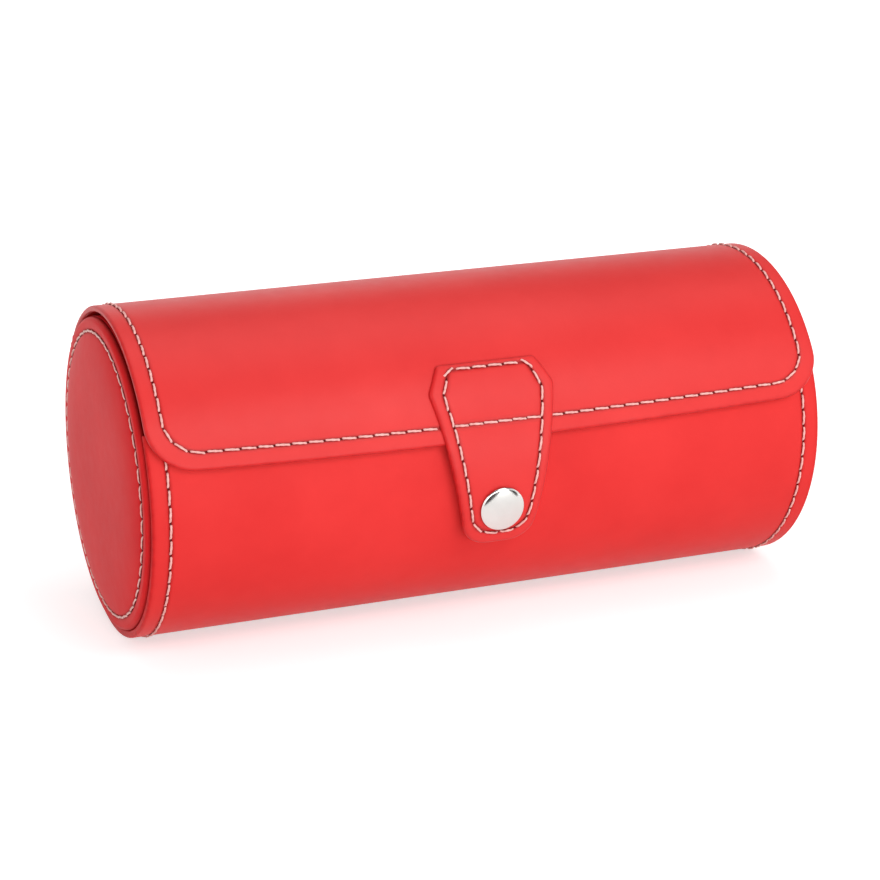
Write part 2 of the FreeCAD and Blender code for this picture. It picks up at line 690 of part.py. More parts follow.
def side_stitches():
    """Seams down the sides of the base, and the seam round the lid."""
    radius = size("base_radius")
    edge = size("half_length - seam_inset")
    start = math.radians(size("base_start + seam_turn")) * radius
    stop = math.radians(size("base_stop - seam_turn")) * radius
    clear = size("foot_width / base_radius * degree")
    for side, sign in (("left", -1), ("right", 1)):
        ends_of_seam = [FreeCAD.Vector(sign * edge, place, 0) for place in (start, stop)]
        seam = Part.Wire(Part.makeLine(*ends_of_seam))
        bars = on_curve([seam], radius, 0, lambda x, turn: abs(turn - UNDERSIDE) > clear)
        add_stitches(f"base_{side}_stitches", bars)
    radius = size("lid_radius")
    bow = size("flap_bow")
    back = math.radians(size("lid_start + seam_turn")) * radius + bow
    front = math.radians(size("lid_stop")) * radius - size("seam_inset")
    spots = ((-edge, back), (-edge, front), (edge, front), (edge, back))
    seam = rounded_wire([FreeCAD.Vector(x, y, 0) for x, y in spots], size("seam_corner"))
    covered = size("tab_wide_half")
    middle = size("tab_offset")
    bars = on_curve([seam], radius, size("lid_shift"), lambda x, turn: abs(x - middle) > covered, bow)
    add_stitches("lid_stitches", bars)


def end_stitches():
    ring = size("end_ring")
    count = round(2 * math.pi * ring / size("stitch_pitch"))
    face = size("end_face + glue + end_cover_depth")
    for side, sign in (("left", -1), ("right", 1)):
        bars = []
        for step in range(count):
            turn = 2 * math.pi * step / count
            out = FreeCAD.Vector(0, math.cos(turn), math.sin(turn))
            point = out * ring + FreeCAD.Vector(sign * face, 0, size("axis_height"))
            bars.append(stitch(point, FreeCAD.Vector(0, -out.z, out.y), X_AXIS * sign))
        add_stitches(f"{side}_end_stitches", bars)


def tab_stitches():
    """The border seam of the tab and the seam across it, in two groups that part at the bend."""
    radius = size("tab_out")
    inset = size("tab_seam_inset")

    def spot(half, angle, down=0.0):
        return FreeCAD.Vector(half, math.radians(180 - angle) * radius + down, 0)

    top, wide, end = (size(name) - inset for name in ("tab_top_half", "tab_wide_half", "tab_end_half"))
    top_spot = spot(top + inset / 4, size("tab_top_angle"), size("tab_top_inset"))
    outline = [FreeCAD.Vector(0, top_spot.y, 0), top_spot,
               spot(wide, size("tab_wide_angle"), inset / 4),
               spot(end + inset / 2, -size("tab_end_angle"), -inset)]
    outline.append(FreeCAD.Vector(0, outline[-1].y, 0))
    mirrored = [FreeCAD.Vector(-p.x, p.y, 0) for p in outline]
    borders = [rounded_wire(points, inset / 2) for points in (outline, mirrored)]
    seam_angle = size("flap_angle + seam_inset / lid_radius * degree")
    cross_half = (top + wide) / 2 - inset / 4
    cross = Part.Wire(Part.makeLine(spot(-cross_half, seam_angle), spot(cross_half, seam_angle)))
    above = size("bend_start - stitch_length / 2 / tab_out * degree")
    below = size("bend_stop + stitch_length / 2 / tab_out * degree")
    shift = size("lid_shift")
    offset = size("tab_offset")
    root_bars = on_curve(borders + [cross], radius, shift, lambda x, turn: turn < above, offset=offset)
    add_stitches("tab_root_stitches", root_bars)
    tongue_bars = on_curve(borders, radius, shift, lambda x, turn: turn > below, offset=offset)
    add_stitches("tab_stitches", tongue_bars)


X_AXIS = FreeCAD.Vector(1, 0, 0)
Y_AXIS = FreeCAD.Vector(0, 1, 0)
Z_AXIS = FreeCAD.Vector(0, 0, 1)
PARALLEL = 1e-6
UNDERSIDE = 270
# Where the padded ends' crown has its points, and how late it falls off towards the seam
CROWN_SHARES = (0, 0.45, 0.62, 0.74, 0.83, 0.9, 0.95, 1)
CROWN_POWER = 7
AXIS_POINT = "vector(tab_offset; 0; axis_height)"
SNAP_TURN = "rotation(0; 0; 90 + snap_angle)"
LENGTH = size("stitch_length")
WIDTH = size("stitch_width")
HEIGHT = size("stitch_height")

base_wall()
lid_wall()
hinge()
ends()
dividers()
pillows()
tab()
snap()
side_stitches()
end_stitches()
tab_stitches()
doc.recompute()

for item in doc.Objects:
    if "Invalid" in item.State or "Error" in item.State:
        raise RuntimeError(f"{item.Name} failed: {item.State}")
for item in parts:
    if item.Shape.isNull() or not item.Shape.isValid() or not item.Shape.Solids:
        raise RuntimeError(f"{item.Label} has no valid solid")

os.makedirs("parts", exist_ok=True)
for item in parts:
    item.Shape.exportStep(f"parts/{item.Label}.step")
    print(item.Label, len(item.Shape.Solids), round(item.Shape.Volume, 2))
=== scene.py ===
from collections import namedtuple
from math import acos, atan2, cos, exp, pi, radians, sin, sqrt, tan

import bmesh
import bpy
import numpy as np
from mathutils import Matrix, Vector


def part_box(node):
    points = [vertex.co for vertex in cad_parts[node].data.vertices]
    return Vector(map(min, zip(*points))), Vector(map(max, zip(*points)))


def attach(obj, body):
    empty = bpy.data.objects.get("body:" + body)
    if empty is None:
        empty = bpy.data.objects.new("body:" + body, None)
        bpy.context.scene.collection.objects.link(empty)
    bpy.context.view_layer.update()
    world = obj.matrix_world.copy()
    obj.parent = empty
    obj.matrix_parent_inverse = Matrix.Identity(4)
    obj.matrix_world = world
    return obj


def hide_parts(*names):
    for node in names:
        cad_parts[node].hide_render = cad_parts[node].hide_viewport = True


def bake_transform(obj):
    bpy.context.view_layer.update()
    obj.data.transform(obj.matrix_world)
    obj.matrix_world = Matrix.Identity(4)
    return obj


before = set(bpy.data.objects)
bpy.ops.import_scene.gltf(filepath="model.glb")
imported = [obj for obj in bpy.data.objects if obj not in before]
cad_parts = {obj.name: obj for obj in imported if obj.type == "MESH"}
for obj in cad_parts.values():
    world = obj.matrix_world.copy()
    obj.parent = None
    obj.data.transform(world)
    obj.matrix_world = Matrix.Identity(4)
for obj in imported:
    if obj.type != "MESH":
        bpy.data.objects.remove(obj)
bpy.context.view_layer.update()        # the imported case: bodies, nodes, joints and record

# Round watch roll: leather skins, padded ends, velvet inside, stitching and snap, in metres.
# Flat places on the wall are (x along the roll, s round it), with turns from the back over the top.

MM = 0.001

# Sizes read from the frame
END_LOW, END_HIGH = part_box("left_end_cover")
AXIS_Z = (END_LOW.z + END_HIGH.z) / 2
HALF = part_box("base_leather")[1].x
END_BACK, END_FACE = (corner.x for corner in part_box("right_end_cover"))
END_RADIUS = (END_HIGH.z - END_LOW.z) / 2
BASE_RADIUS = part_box("base_leather")[1].y
PAD_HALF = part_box("base_lining")[1].x
LID_PAD_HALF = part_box("lid_lining")[1].x

# Layers of the wall
LEATHER = 0.7 * MM
GLUE = 0.05 * MM
BOARD = 1.05 * MM
LID_BOARD = 0.6 * MM
FACING = 0.4 * MM
FOAM = 2.4 * MM
LINING = 0.5 * MM
CLEARANCE = 0.6 * MM
LID_WALL = LEATHER + LID_BOARD + FACING + 2 * GLUE
PAD_THICK = FOAM + LINING + GLUE
LIP_ROOM = 3 * LINING + CLEARANCE

# Rounding of the layers' rims; a hinge strip's is a share of its thickness
BASE_RIM = 0.8 * MM
LID_RIM = 0.85 * MM
FACING_RIM = 0.18 * MM
TAB_RIM = 1.0 * MM
TAB_INNER_RIM = 0.15 * MM
BACKING_RIM = 0.1 * MM
BACKING_INNER_RIM = 0.6 * MM
PAD_RIM = 1.4 * MM
HINGE_RIM = 0.3
EDGE_WEAR = 0.8 * MM

# Turns of the edges, above the horizontal at the front or at the back
LIP_TURN = radians(30.0)
FLAP_TURN = radians(15.0)
HINGE_TURN = radians(40.0)
HINGE_HALF = radians(2.5)

BOARD_SETBACK = 0.8 * MM / BASE_RADIUS

# The lid's circle is larger and set forward, flush at the hinge and clear of the base's lip
LID_SHIFT = (LID_WALL + CLEARANCE) / (cos(LIP_TURN) + cos(HINGE_TURN))
LID_RADIUS = BASE_RADIUS + LID_SHIFT * cos(HINGE_TURN)
Circle = namedtuple("Circle", "radius shift")
BASE_CIRCLE = Circle(BASE_RADIUS, 0.0)
LID_CIRCLE = Circle(LID_RADIUS, -LID_SHIFT)

BASE_START = pi - LIP_TURN
BASE_STOP = 2 * pi + HINGE_TURN - HINGE_HALF
HINGE_STOP = HINGE_TURN + HINGE_HALF
LID_START = atan2(BASE_RADIUS * sin(HINGE_STOP), BASE_RADIUS * cos(HINGE_STOP) + LID_SHIFT)
LID_STOP = pi - FLAP_TURN
FLAP_CORNER = 13.0 * MM
FLAP_BOW = 2.1 * MM
FLAP_BEND = 45.0 * MM
FOLD_DEPTH = 0.45 * MM

# Padded ends: a plump face, a seam ring and a rounded margin
SIDES = {"left": -1, "right": 1}
END_CROWN = 1.9 * MM
CROWN_POWER = 7
END_RIM = 1.5 * MM
END_FOOT = 0.4 * MM
END_GROOVE = 0.3 * MM
END_GROOVE_WIDTH = 0.7 * MM
LINING_SWELL = 0.12 * MM

# Tab and snap
TAB_MIDDLE = -1.6 * MM
TAB_LEATHER = 1.2 * MM
TAB_BACKING = 0.8 * MM
TAB_CIRCLE = Circle(LID_RADIUS + GLUE + TAB_LEATHER, -LID_SHIFT)
TAB_TOP_TURN = radians(42.2)
TAB_WIDE_TURN = radians(32.4)
TAB_END_TURN = radians(-21.7)
TAB_BEND_HALF = radians(3.0)
TAB_TOP_HALF = 14.7 * MM
TAB_WIDE_HALF = 18.7 * MM
TAB_END_HALF = 9.6 * MM
TAB_CORNERS = (1.5 * MM, 3.0 * MM, 8.0 * MM)
SNAP_TURN = radians(7.8)
CAP_SEAT = TAB_CIRCLE.radius + LID_SHIFT * cos(SNAP_TURN)
TONGUE_START = (pi - FLAP_TURN + TAB_BEND_HALF) * TAB_CIRCLE.radius
SNAP_ORIGIN = (TAB_MIDDLE, 0, AXIS_Z)
SNAP_AXIS = (0, -cos(SNAP_TURN), -sin(SNAP_TURN))
PUNCH_REACH = 10.0 * MM
CAP_RADIUS = 6.5 * MM
CAP_HEIGHT = 1.9 * MM
CAP_EDGE = 0.95 * MM
CAP_RIM = 0.55 * MM
CAP_BEAD = 0.47 * MM
DOME_POWER = 2.1
SHANK_RADIUS = 2.5 * MM
SHANK_LENGTH = 1.1 * MM
SOCKET_BORE = 2.6 * MM
SOCKET_BEVEL = 0.15 * MM
SOCKET_DEPTH = 1.1 * MM
SOCKET_GAP = 0.32 * MM
COLLAR_RADIUS = 3.2 * MM
FLANGE_RADIUS = 5.0 * MM
FLANGE_RIM = 0.25 * MM
POST_RADIUS = 1.05 * MM
PLATE_RADIUS = 4.2 * MM
PLATE_THICK = 0.25 * MM
PLATE_CROWN = 0.27 * MM
PLATE_RIM = 0.12 * MM
NECK_RADIUS = 1.5 * MM
NECK_FLARE = 0.3 * MM
NECK_START = 0.5 * MM
BALL_RADIUS = 2.0 * MM
BALL_HALF = 0.65 * MM

# Dividers: corner of the outline, and rings drawn in by millimetres with their share of half the thickness
DIVIDER_CORNER = 8.0 * MM
DIVIDER_RINGS = ((0.0, 0.0), (0.05, 0.35), (0.2, 0.75), (0.5, 0.95), (1.2, 1.0))

# Watch pillows: a smaller block swells, and the rims of its end caps are sewn with puckers
PILLOW_CORNER = 20.0 * MM
PILLOW_SHRINK = 2.5 * MM
PILLOW_RINGS = 9
PILLOW_VOXEL = 4.0 * MM
PILLOW_PRESSURE = 4.0
PILLOW_FRAMES = 20
PILLOW_MOVE = 4.0 * MM
PILLOW_SEAM = 6.0 * MM
PILLOW_SEAM_WIDTH = 1.3 * MM
PILLOW_PULL = 0.055
PULL_START = 0.55
PULL_REACH = 0.3
PUCKERS = 46
PUCKER_SHARE = 0.35

# Stitching
SEAM_INSET = 5.0 * MM
TAB_SEAM_INSET = 4.0 * MM
TAB_TOP_INSET = 2.0 * MM
END_SEAM_INSET = 3.9 * MM
END_RING = END_RADIUS - END_SEAM_INSET
END_SEAM_POINTS = 181
SEAM_CORNER = 9.5 * MM
SEAM_SETBACK = radians(1.0)
SEAM_SLACK = 1.0 * MM
FOOT_CLEAR = 12.0 * MM
STITCH_PITCH = 4.7 * MM
STITCH_LENGTH = 4.2 * MM
THREAD_RADIUS = 0.29 * MM
THREAD_SLANT = 0.14 * MM
THREAD_RINGS = 15
THREAD_SIDES = 10
THREAD_TWIST = 7.5
PLY_SWELL = 0.16
END_STITCH_LIFT = 0.7
UNDER_STITCH_LIFT = -0.6
HOLE_LENGTH = 0.62 * MM
HOLE_WIDTH = 0.32 * MM
HOLE_RINGS = ((1.0, -0.22 * MM), (0.9, -0.1 * MM), (0.55, -0.16 * MM))
HOLE_SIDES = 12
GROOVE_DEPTH = 0.22 * MM
GROOVE_WIDTH = 0.6 * MM
# Painted shade beside the seams: its strength and its width.
PAINTED_CREASE_SHADE = 0.9
PAINTED_CREASE_SHADE_WIDTH = 0.6 * MM

# Distances from an edge where a sheet has points: round rim, turned-in edge, then the seam
RIM_STEPS = [0, 0.04, 0.12, 0.25, 0.42, 0.6, 0.7, 0.78, 1.1, 1.8, 2.7]
SEAM_STEPS = [3.3, 3.8, 4.2, 4.5, 4.75, 5.0, 5.25, 5.5, 5.8]
CORNER_STEPS = [6.2 + 0.4 * step for step in range(20)]
WALL_EDGE = np.array(RIM_STEPS + SEAM_STEPS + CORNER_STEPS) * MM
PLAIN_EDGE = np.array(RIM_STEPS + [4.0, 6.0]) * MM
OPEN_EDGE = np.array([0.0, 1.0]) * MM
BASE_EDGE = WALL_EDGE[:32]
HINGE_EDGE = WALL_EDGE[:24]
TAB_EDGE = np.array(RIM_STEPS[:-2] + [1.6, 2.0, 2.4, 2.8, 3.1, 3.4, 3.6, 3.8, 4.0, 4.2, 4.4, 4.7, 5.2]) * MM
PAD_EDGE = np.array([0, 0.05, 0.15, 0.35, 0.6, 0.9, 1.25, 1.6, 2.2, 3.5, 6.0]) * MM

# Points away from the edges: steps round the roll, columns between the sides, segments of turned pieces
WALL_STEP = 1.7 * MM
FACING_STEP = 2.5 * MM
TAB_STEP = 0.8 * MM
PAD_STEP = 2.2 * MM
HINGE_ROWS = 17
WALL_COLUMNS = 40
LID_COLUMNS = 50
TAB_COLUMNS = 24
PAD_COLUMNS = 44
END_SEGMENTS = 160
DISC_SEGMENTS = 120
CAP_SEGMENTS = 96
SNAP_SEGMENTS = 72
PUNCH_SEGMENTS = 48

# Studio: the camera, soft boxes as place, width, height and watts, and cards as place and tall side
CAMERA_AZIMUTH = radians(-21.9)
CAMERA_ELEVATION = radians(17.7)
CAMERA_AWAY = 0.745
CAMERA_LENS = 103.55
CAMERA_SENSOR = 36.0
CAMERA_SHIFT = -0.0079
FILL_LIGHT = 0.3
FLOOR_HALF = 4.0
FLOOR_DROP = 0.05 * MM
FLOOR_GLOW = (0.58, 1.0)
FLOOR_GLOW_REACH = (0.15, 0.6)
SOFT_BOXES = {
    "front_box": ((0.25, -0.75, 0.7), 0.5, 0.4, 2.85),
    "low_box": ((0.0, -1.0, 0.16), 1.1, 0.28, 4.05),
    "top_box": ((0.1, 0.15, 1.0), 0.9, 0.7, 2.8),
    "left_box": ((-0.9, -0.25, 0.4), 0.5, 0.6, 1.6),
    "right_box": ((0.9, -0.35, 0.45), 0.5, 0.6, 0.8),
    "back_box": ((0.0, 0.95, 0.55), 0.9, 0.4, 0.5),
}
CARD_WIDTH = 0.06
CARD_HEIGHT = 0.05
DARK_CARDS = {"left_card": ((-0.002, -0.14, 0.025), -1), "right_card": ((0.1, -0.18, 0.025), 1)}


# Materials

def fill_inputs(node, inputs):
    """Give a shader node's inputs values, or links from other nodes."""
    for name, source in inputs.items():
        if isinstance(source, bpy.types.NodeSocket):
            node.id_data.links.new(source, node.inputs[name])
        else:
            node.inputs[name].default_value = source


def add_node(tree, kind, output, inputs, **settings):
    """One output of a new shader node."""
    node = tree.nodes.new("ShaderNode" + kind)
    for name, value in settings.items():
        setattr(node, name, value)
    fill_inputs(node, inputs)
    return node.outputs[output]


def new_material(name):
    """A material, its principled shader and its coordinates in the object's own metres."""
    material = bpy.data.materials.new(name)
    material.use_nodes = True
    tree = material.node_tree
    return material, tree.nodes["Principled BSDF"], add_node(tree, "TexCoord", "Object", {})


def noise(place, scale, detail=3.0, roughness=0.55):
    inputs = {"Vector": place, "Scale": scale, "Detail": detail, "Roughness": roughness}
    return add_node(place.id_data, "TexNoise", "Fac", inputs)


def cells(place, scale):
    return add_node(place.id_data, "TexVoronoi", "Distance", {"Vector": place, "Scale": scale})


def attribute(material, name):
    return add_node(material.node_tree, "Attribute", "Fac", {}, attribute_name=name)


def ramp(factor, low, high, start=0.0, stop=1.0):
    """Colours from low to high as a factor goes from start to stop."""
    colours = add_node(factor.id_data, "ValToRGB", "Color", {"Fac": factor})
    for end, position, colour in zip(colours.node.color_ramp.elements, (start, stop), (low, high)):
        end.position = position
        end.color = (*colour, 1.0)
    return colours


def spread(factor, low, high, start=0.0, stop=1.0):
    """A number from low to high as a factor goes from start to stop."""
    inputs = {"Value": factor, "From Min": start, "From Max": stop, "To Min": low, "To Max": high}
    return add_node(factor.id_data, "MapRange", "Result", inputs)


def blend_colour(factor, first, second):
    inputs = {"Factor": factor, "A": first, "B": second}
    return add_node(factor.id_data, "Mix", "Result", inputs, data_type="RGBA")


def bump(height, distance, strength, before=None):
    inputs = {"Height": height, "Distance": distance, "Strength": strength}
    if before is not None:
        inputs["Normal"] = before
    return add_node(height.id_data, "Bump", "Normal", inputs)


def leather_material(name, dark, light, edge_dark, edge_light, rough, gloss):
    """Coated leather: fine pebble grain, faint clouding, darker turned edges, and painted shade along the
    seams and creases.
    """
    material, shader, place = new_material(name)
    body = ramp(noise(place, 38.0, 4.0), dark, light, 0.3, 0.7)
    rim = ramp(noise(place, 420.0), edge_dark, edge_light, 0.3, 0.7)
    # The edge mark gives darker colour at the worn turned edges and painted shade in the seam grooves.
    worn_and_shaded = blend_colour(attribute(material, "edge"), body, rim)
    # Painted shade: a near-black red laid beside the seams and in the creases, where shade falls.
    painted_crease_colour = ramp(noise(place, 700.0), (0.2, 0.006, 0.006), (0.32, 0.01, 0.01), 0.3, 0.7)
    pebbles = bump(cells(place, 1500.0), 0.05 * MM, 0.22)
    pores = bump(noise(place, 3200.0, 2.0), 0.03 * MM, 0.2, pebbles)
    fill_inputs(shader, {
        "Base Color": blend_colour(attribute(material, "painted_crease_shade"), worn_and_shaded, painted_crease_colour),
        "Roughness": spread(noise(place, 260.0, 2.0), *rough),
        "Normal": bump(noise(place, 70.0, 2.0), 0.25 * MM, 0.12, pores),
        "Specular IOR Level": gloss,
    })
    return material


def velvet_material(name, dark, light):
    """Short pile: brushed patches, fine fibres and a soft sheen at glancing angles."""
    material, shader, place = new_material(name)
    fibres = bump(noise(place, 4200.0, 2.0), 0.25 * MM, 0.55)
    fill_inputs(shader, {
        "Base Color": ramp(noise(place, 55.0, 5.0, 0.6), dark, light, 0.35, 0.68),
        "Normal": bump(noise(place, 160.0, 3.0), 0.5 * MM, 0.15, fibres),
        "Roughness": 0.95,
        "Specular IOR Level": 0.15,
        "Sheen Weight": 0.55,
        "Sheen Roughness": 0.35,
        "Sheen Tint": (1.0, 0.45, 0.45, 1.0),
    })
    return material


def thread_material(name, dark, light):
    """Twisted thread, its plies a little uneven in tone."""
    material, shader, place = new_material(name)
    fill_inputs(shader, {
        "Base Color": ramp(noise(place, 900.0), dark, light, 0.3, 0.65),
        "Normal": bump(noise(place, 5200.0, 2.0), 0.06 * MM, 0.5),
        "Roughness": 0.62,
        "Specular IOR Level": 0.2,
    })
    return material


def nickel_material():
    """Polished plate with faint haze and hairline polishing marks."""
    material, shader, place = new_material("snap_nickel")
    haze = noise(place, 240.0, 3.0)
    fill_inputs(shader, {
        "Base Color": ramp(haze, (0.58, 0.57, 0.55), (0.68, 0.67, 0.65)),
        "Roughness": spread(haze, 0.07, 0.16),
        "Normal": bump(noise(place, 1400.0, 2.0), 0.01 * MM, 0.08),
        "Metallic": 1.0,
    })
    return material


def board_material():
    """Pressed board faced with wine-coloured lining paper, its fibres showing."""
    material, shader, place = new_material("lined_board")
    speckle = noise(place, 900.0, 6.0, 0.7)
    fill_inputs(shader, {
        "Base Color": ramp(speckle, (0.15, 0.01, 0.014), (0.27, 0.022, 0.03), 0.3, 0.7),
        "Normal": bump(noise(place, 1600.0, 4.0), 0.08 * MM, 0.4),
        "Roughness": 0.9,
    })
    return material


# Edge colours: darker at the worn edges, and painted shade in the seam grooves.
RED_LEATHER = leather_material("red_leather", (0.75, 0.03, 0.029), (0.81, 0.038, 0.036),
                               (0.58, 0.012, 0.014), (0.72, 0.02, 0.02), (0.36, 0.46), 0.25)
# The base's copy of the red leather, a little brighter as painted light that makes up for its weaker sheen.
LIGHT_MATCHED_BASE_LEATHER = leather_material("base_leather", (0.78, 0.036, 0.035), (0.84, 0.044, 0.042),
                                (0.58, 0.012, 0.014), (0.72, 0.02, 0.02), (0.38, 0.48), 0.07)
# The ends' copy of the red leather, its tone set as painted light for how the ends are lit; its darker edge
# colours paint shade into the groove and the side.
LIGHT_MATCHED_END_LEATHER = leather_material("end_leather", (0.76, 0.018, 0.022), (0.82, 0.024, 0.027),
                               (0.52, 0.012, 0.014), (0.66, 0.02, 0.02), (0.42, 0.52), 0.06)
# Near-black for the needle holes: painted shadow inside them.
NEEDLE_HOLE_SHADE = leather_material("painted_needle_hole_shade", (0.1, 0.006, 0.006), (0.17, 0.01, 0.01),
                               (0.08, 0.005, 0.005), (0.12, 0.008, 0.008), (0.7, 0.85), 0.1)
VELVET = velvet_material("wine_velvet", (0.2, 0.01, 0.016), (0.34, 0.02, 0.03))
THREAD = thread_material("stitch_thread", (0.83, 0.4, 0.37), (0.97, 0.57, 0.53))
# The ends' copy of the thread, paler as painted light where the ends get less light.
LIGHT_MATCHED_END_THREAD = thread_material("light_matched_end_thread", (0.97, 0.53, 0.49), (1.0, 0.7, 0.65))
NICKEL = nickel_material()
LINED_BOARD = board_material()


# Mesh building

def new_object(name, data):
    """An object in the scene."""
    made = bpy.data.objects.new(name, data)
    bpy.context.scene.collection.objects.link(made)
    return made


def new_piece(name, points, faces, materials, marks=None, sharp=45.0):
    """A smooth mesh object from points in the case's frame; marks are named shares of each point."""
    mesh = bpy.data.meshes.new(name)
    mesh.from_pydata([tuple(p) for p in points], [], faces)
    mesh.validate()
    for material in materials:
        mesh.materials.append(material)
    mesh.shade_smooth()
    mesh.set_sharp_from_angle(angle=radians(sharp))
    for mark, values in (marks or {}).items():
        layer = mesh.attributes.new(mark, "FLOAT", "POINT")
        layer.data.foreach_set("value", np.asarray(values, np.float32))
    return new_object(name, mesh)


def settle(piece, body, slot, *nodes):
    """The piece rides on a body and stands for CAD nodes."""
    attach(piece, body)
    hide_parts(*nodes)


def span(piece, first, second, spots, slot, *nodes):
    """The piece's placement is baked into its points, and it stands for CAD nodes."""
    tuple(spots[0])
    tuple(spots[1])
    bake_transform(piece)
    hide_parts(*nodes)


def on_roll(x, turn, radius, shift):
    """Points at a distance from a circle's axis along X."""
    return np.stack([x, radius * np.cos(turn) + shift, AXIS_Z + radius * np.sin(turn)], -1)


def crowded(start, stop, near_start, near_stop, step):
    """Places from start to stop, crowded towards the ends by the given distances."""
    first = start + near_start
    last = (stop - near_stop)[::-1]
    count = max(2, round((last[0] - first[-1]) / step))
    return np.concatenate([first, np.linspace(first[-1], last[0], count + 1)[1:-1], last])


def rounded(corners, radii, steps=12):
    """A flat polyline through corners, its inner corners turned into arcs."""
    corners = [np.array(c, float) for c in corners]
    line = [corners[0]]
    for before, corner, after, radius in zip(corners, corners[1:], corners[2:], radii):
        back = (before - corner) / np.linalg.norm(before - corner)
        ahead = (after - corner) / np.linalg.norm(after - corner)
        half = acos(np.clip(back @ ahead, -1, 1)) / 2
        middle = corner + (back + ahead) / np.linalg.norm(back + ahead) * radius / sin(half)
        first = corner + back * radius / tan(half) - middle
        last = corner + ahead * radius / tan(half) - middle
        sweep = pi - 2 * half
        for step in range(steps + 1):
            part = sweep * step / steps
            line.append(middle + (sin(sweep - part) * first + sin(part) * last) / sin(sweep))
    line.append(corners[-1])
    return np.array(line)


def full_turn(steps):
    return np.linspace(0, 2 * pi, steps, endpoint=False)


def arc(middle, radius, first, last, steps):
    """Flat points on a circle from one turn to another, both included."""
    turns = np.linspace(first, last, steps + 1)
    return [(middle[0] + radius * cos(turn), middle[1] + radius * sin(turn)) for turn in turns]


def mirrored(line):
    return line * np.array([-1.0, 1.0])


def distance(points, lines):
    """Shortest distance from flat points to some polylines."""
    best = np.full(len(points), np.inf)
    for line in lines:
        for a, b in zip(line, line[1:]):
            along = b - a
            length = along @ along
            if length == 0:
                continue
            share = np.clip((points - a) @ along / length, 0, 1)
            gap = points - a - share[:, None] * along
            best = np.minimum(best, np.hypot(gap[:, 0], gap[:, 1]))
    return best


def fall(gap, rim):
    """How far a round rim drops below the surface at a distance from the edge."""
    inside = rim - np.minimum(gap, rim)
    return rim - np.sqrt(np.maximum(rim ** 2 - inside ** 2, 0))


def numbered(rows, columns):
    return np.arange(rows * columns).reshape(rows, columns)


def grid_faces(rows, columns, first, flip):
    """Quads of a grid of points, numbered from first."""
    grid = first + numbered(rows, columns)
    quads = np.stack([grid[:-1, :-1], grid[:-1, 1:], grid[1:, 1:], grid[1:, :-1]], -1).reshape(-1, 4)
    return (quads[:, ::-1] if flip else quads).tolist()


def border(rows, columns):
    """Numbers of a grid's outer points, going round it."""
    grid = numbered(rows, columns)
    return np.concatenate([grid[0], grid[1:, -1], grid[-1, -2::-1], grid[-2:0:-1, 0]]).tolist()


def ring_faces(rings, sides):
    """Quads between neighbouring rings of points, and a face that closes each end."""
    grid = numbered(rings, sides)
    ahead = np.roll(grid, -1, 1)
    quads = np.stack([grid[:-1], ahead[:-1], ahead[1:], grid[1:]], -1).reshape(-1, 4)
    return quads.tolist() + [grid[0, ::-1].tolist(), grid[-1].tolist()]


Layer = namedtuple("Layer", "outer inner edge_inner turn rim inner_rim")


def as_drawn(x, s):
    return x, s


def bowed(x, s):
    """The lid's front edge is an arc, lowest in the middle."""
    front = np.clip((s - LID_STOP * LID_RADIUS) / FLAP_BEND + 1, 0, 1)
    return x, s - FLAP_BOW * (x / HALF) ** 2 * front


def on_tab(x, s):
    """The tab lies a little to the left of the middle."""
    return x + TAB_MIDDLE, s


def curved_sheet(name, circle, rows, half, edge_steps, middle, layer, edges, seams, material,
                 place=as_drawn):
    """A sheet bent round the roll, with round free edges and a groove along each seam.

    rows are flat places round the circle and half the half width at each. layer gives the outer and inner
    radii, the inner radius within turn of a free edge, and the rounding of the two faces' rims. place moves
    the flat points before they are laid round the circle."""
    scale = np.minimum(1.0, half / (2 * edge_steps[-1]))[:, None]
    near = edge_steps[None, :] * scale
    left = -half[:, None] + near
    right = (half[:, None] - near)[:, ::-1]
    share = np.linspace(0, 1, middle + 2)[1:-1][None, :]
    between = left[:, -1:] + (right[:, :1] - left[:, -1:]) * share
    x = np.concatenate([left, between, right], 1)
    count, columns = x.shape
    flat = np.stack([x, np.repeat(rows[:, None], columns, 1)], -1).reshape(-1, 2)
    gap = distance(flat, edges)
    groove = np.zeros(len(flat))
    painted_crease_shade = np.zeros(len(flat))
    if seams:
        beside = distance(flat, seams)
        groove = np.exp(-(beside / GROOVE_WIDTH) ** 2)
        # Painted shade in a thin line beside each seam.
        painted_crease_shade = PAINTED_CREASE_SHADE * np.exp(-(beside / PAINTED_CREASE_SHADE_WIDTH) ** 2)
    outer = layer.outer - fall(gap, layer.rim) - GROOVE_DEPTH * groove
    inner = np.where(gap < layer.turn, layer.edge_inner, layer.inner) + fall(gap, layer.inner_rim)
    x, s = place(flat[:, 0], flat[:, 1])
    outside = on_roll(x, s / circle.radius, outer, circle.shift)
    outside[:, 2] = np.maximum(outside[:, 2], 0.0)
    inside = on_roll(x, s / circle.radius, inner, circle.shift)
    faces = grid_faces(count, columns, 0, True) + grid_faces(count, columns, len(flat), False)
    ring = border(count, columns)
    for a, b in zip(ring, ring[1:] + ring[:1]):
        faces.append((a, b, b + len(flat), a + len(flat)))
    # Wear darkens the turned edges; the seam grooves get painted shade.
    wear_and_groove_shade = np.maximum(np.exp(-(gap / EDGE_WEAR) ** 2), 0.6 * groove)
    points = np.concatenate([outside, inside])
    marks = {"edge": np.concatenate([wear_and_groove_shade, wear_and_groove_shade]), "painted_crease_shade": np.concatenate([painted_crease_shade, np.zeros(len(flat))])}
    piece = new_piece(name, points, faces, [material], marks)
    make_outward(piece)
    return piece


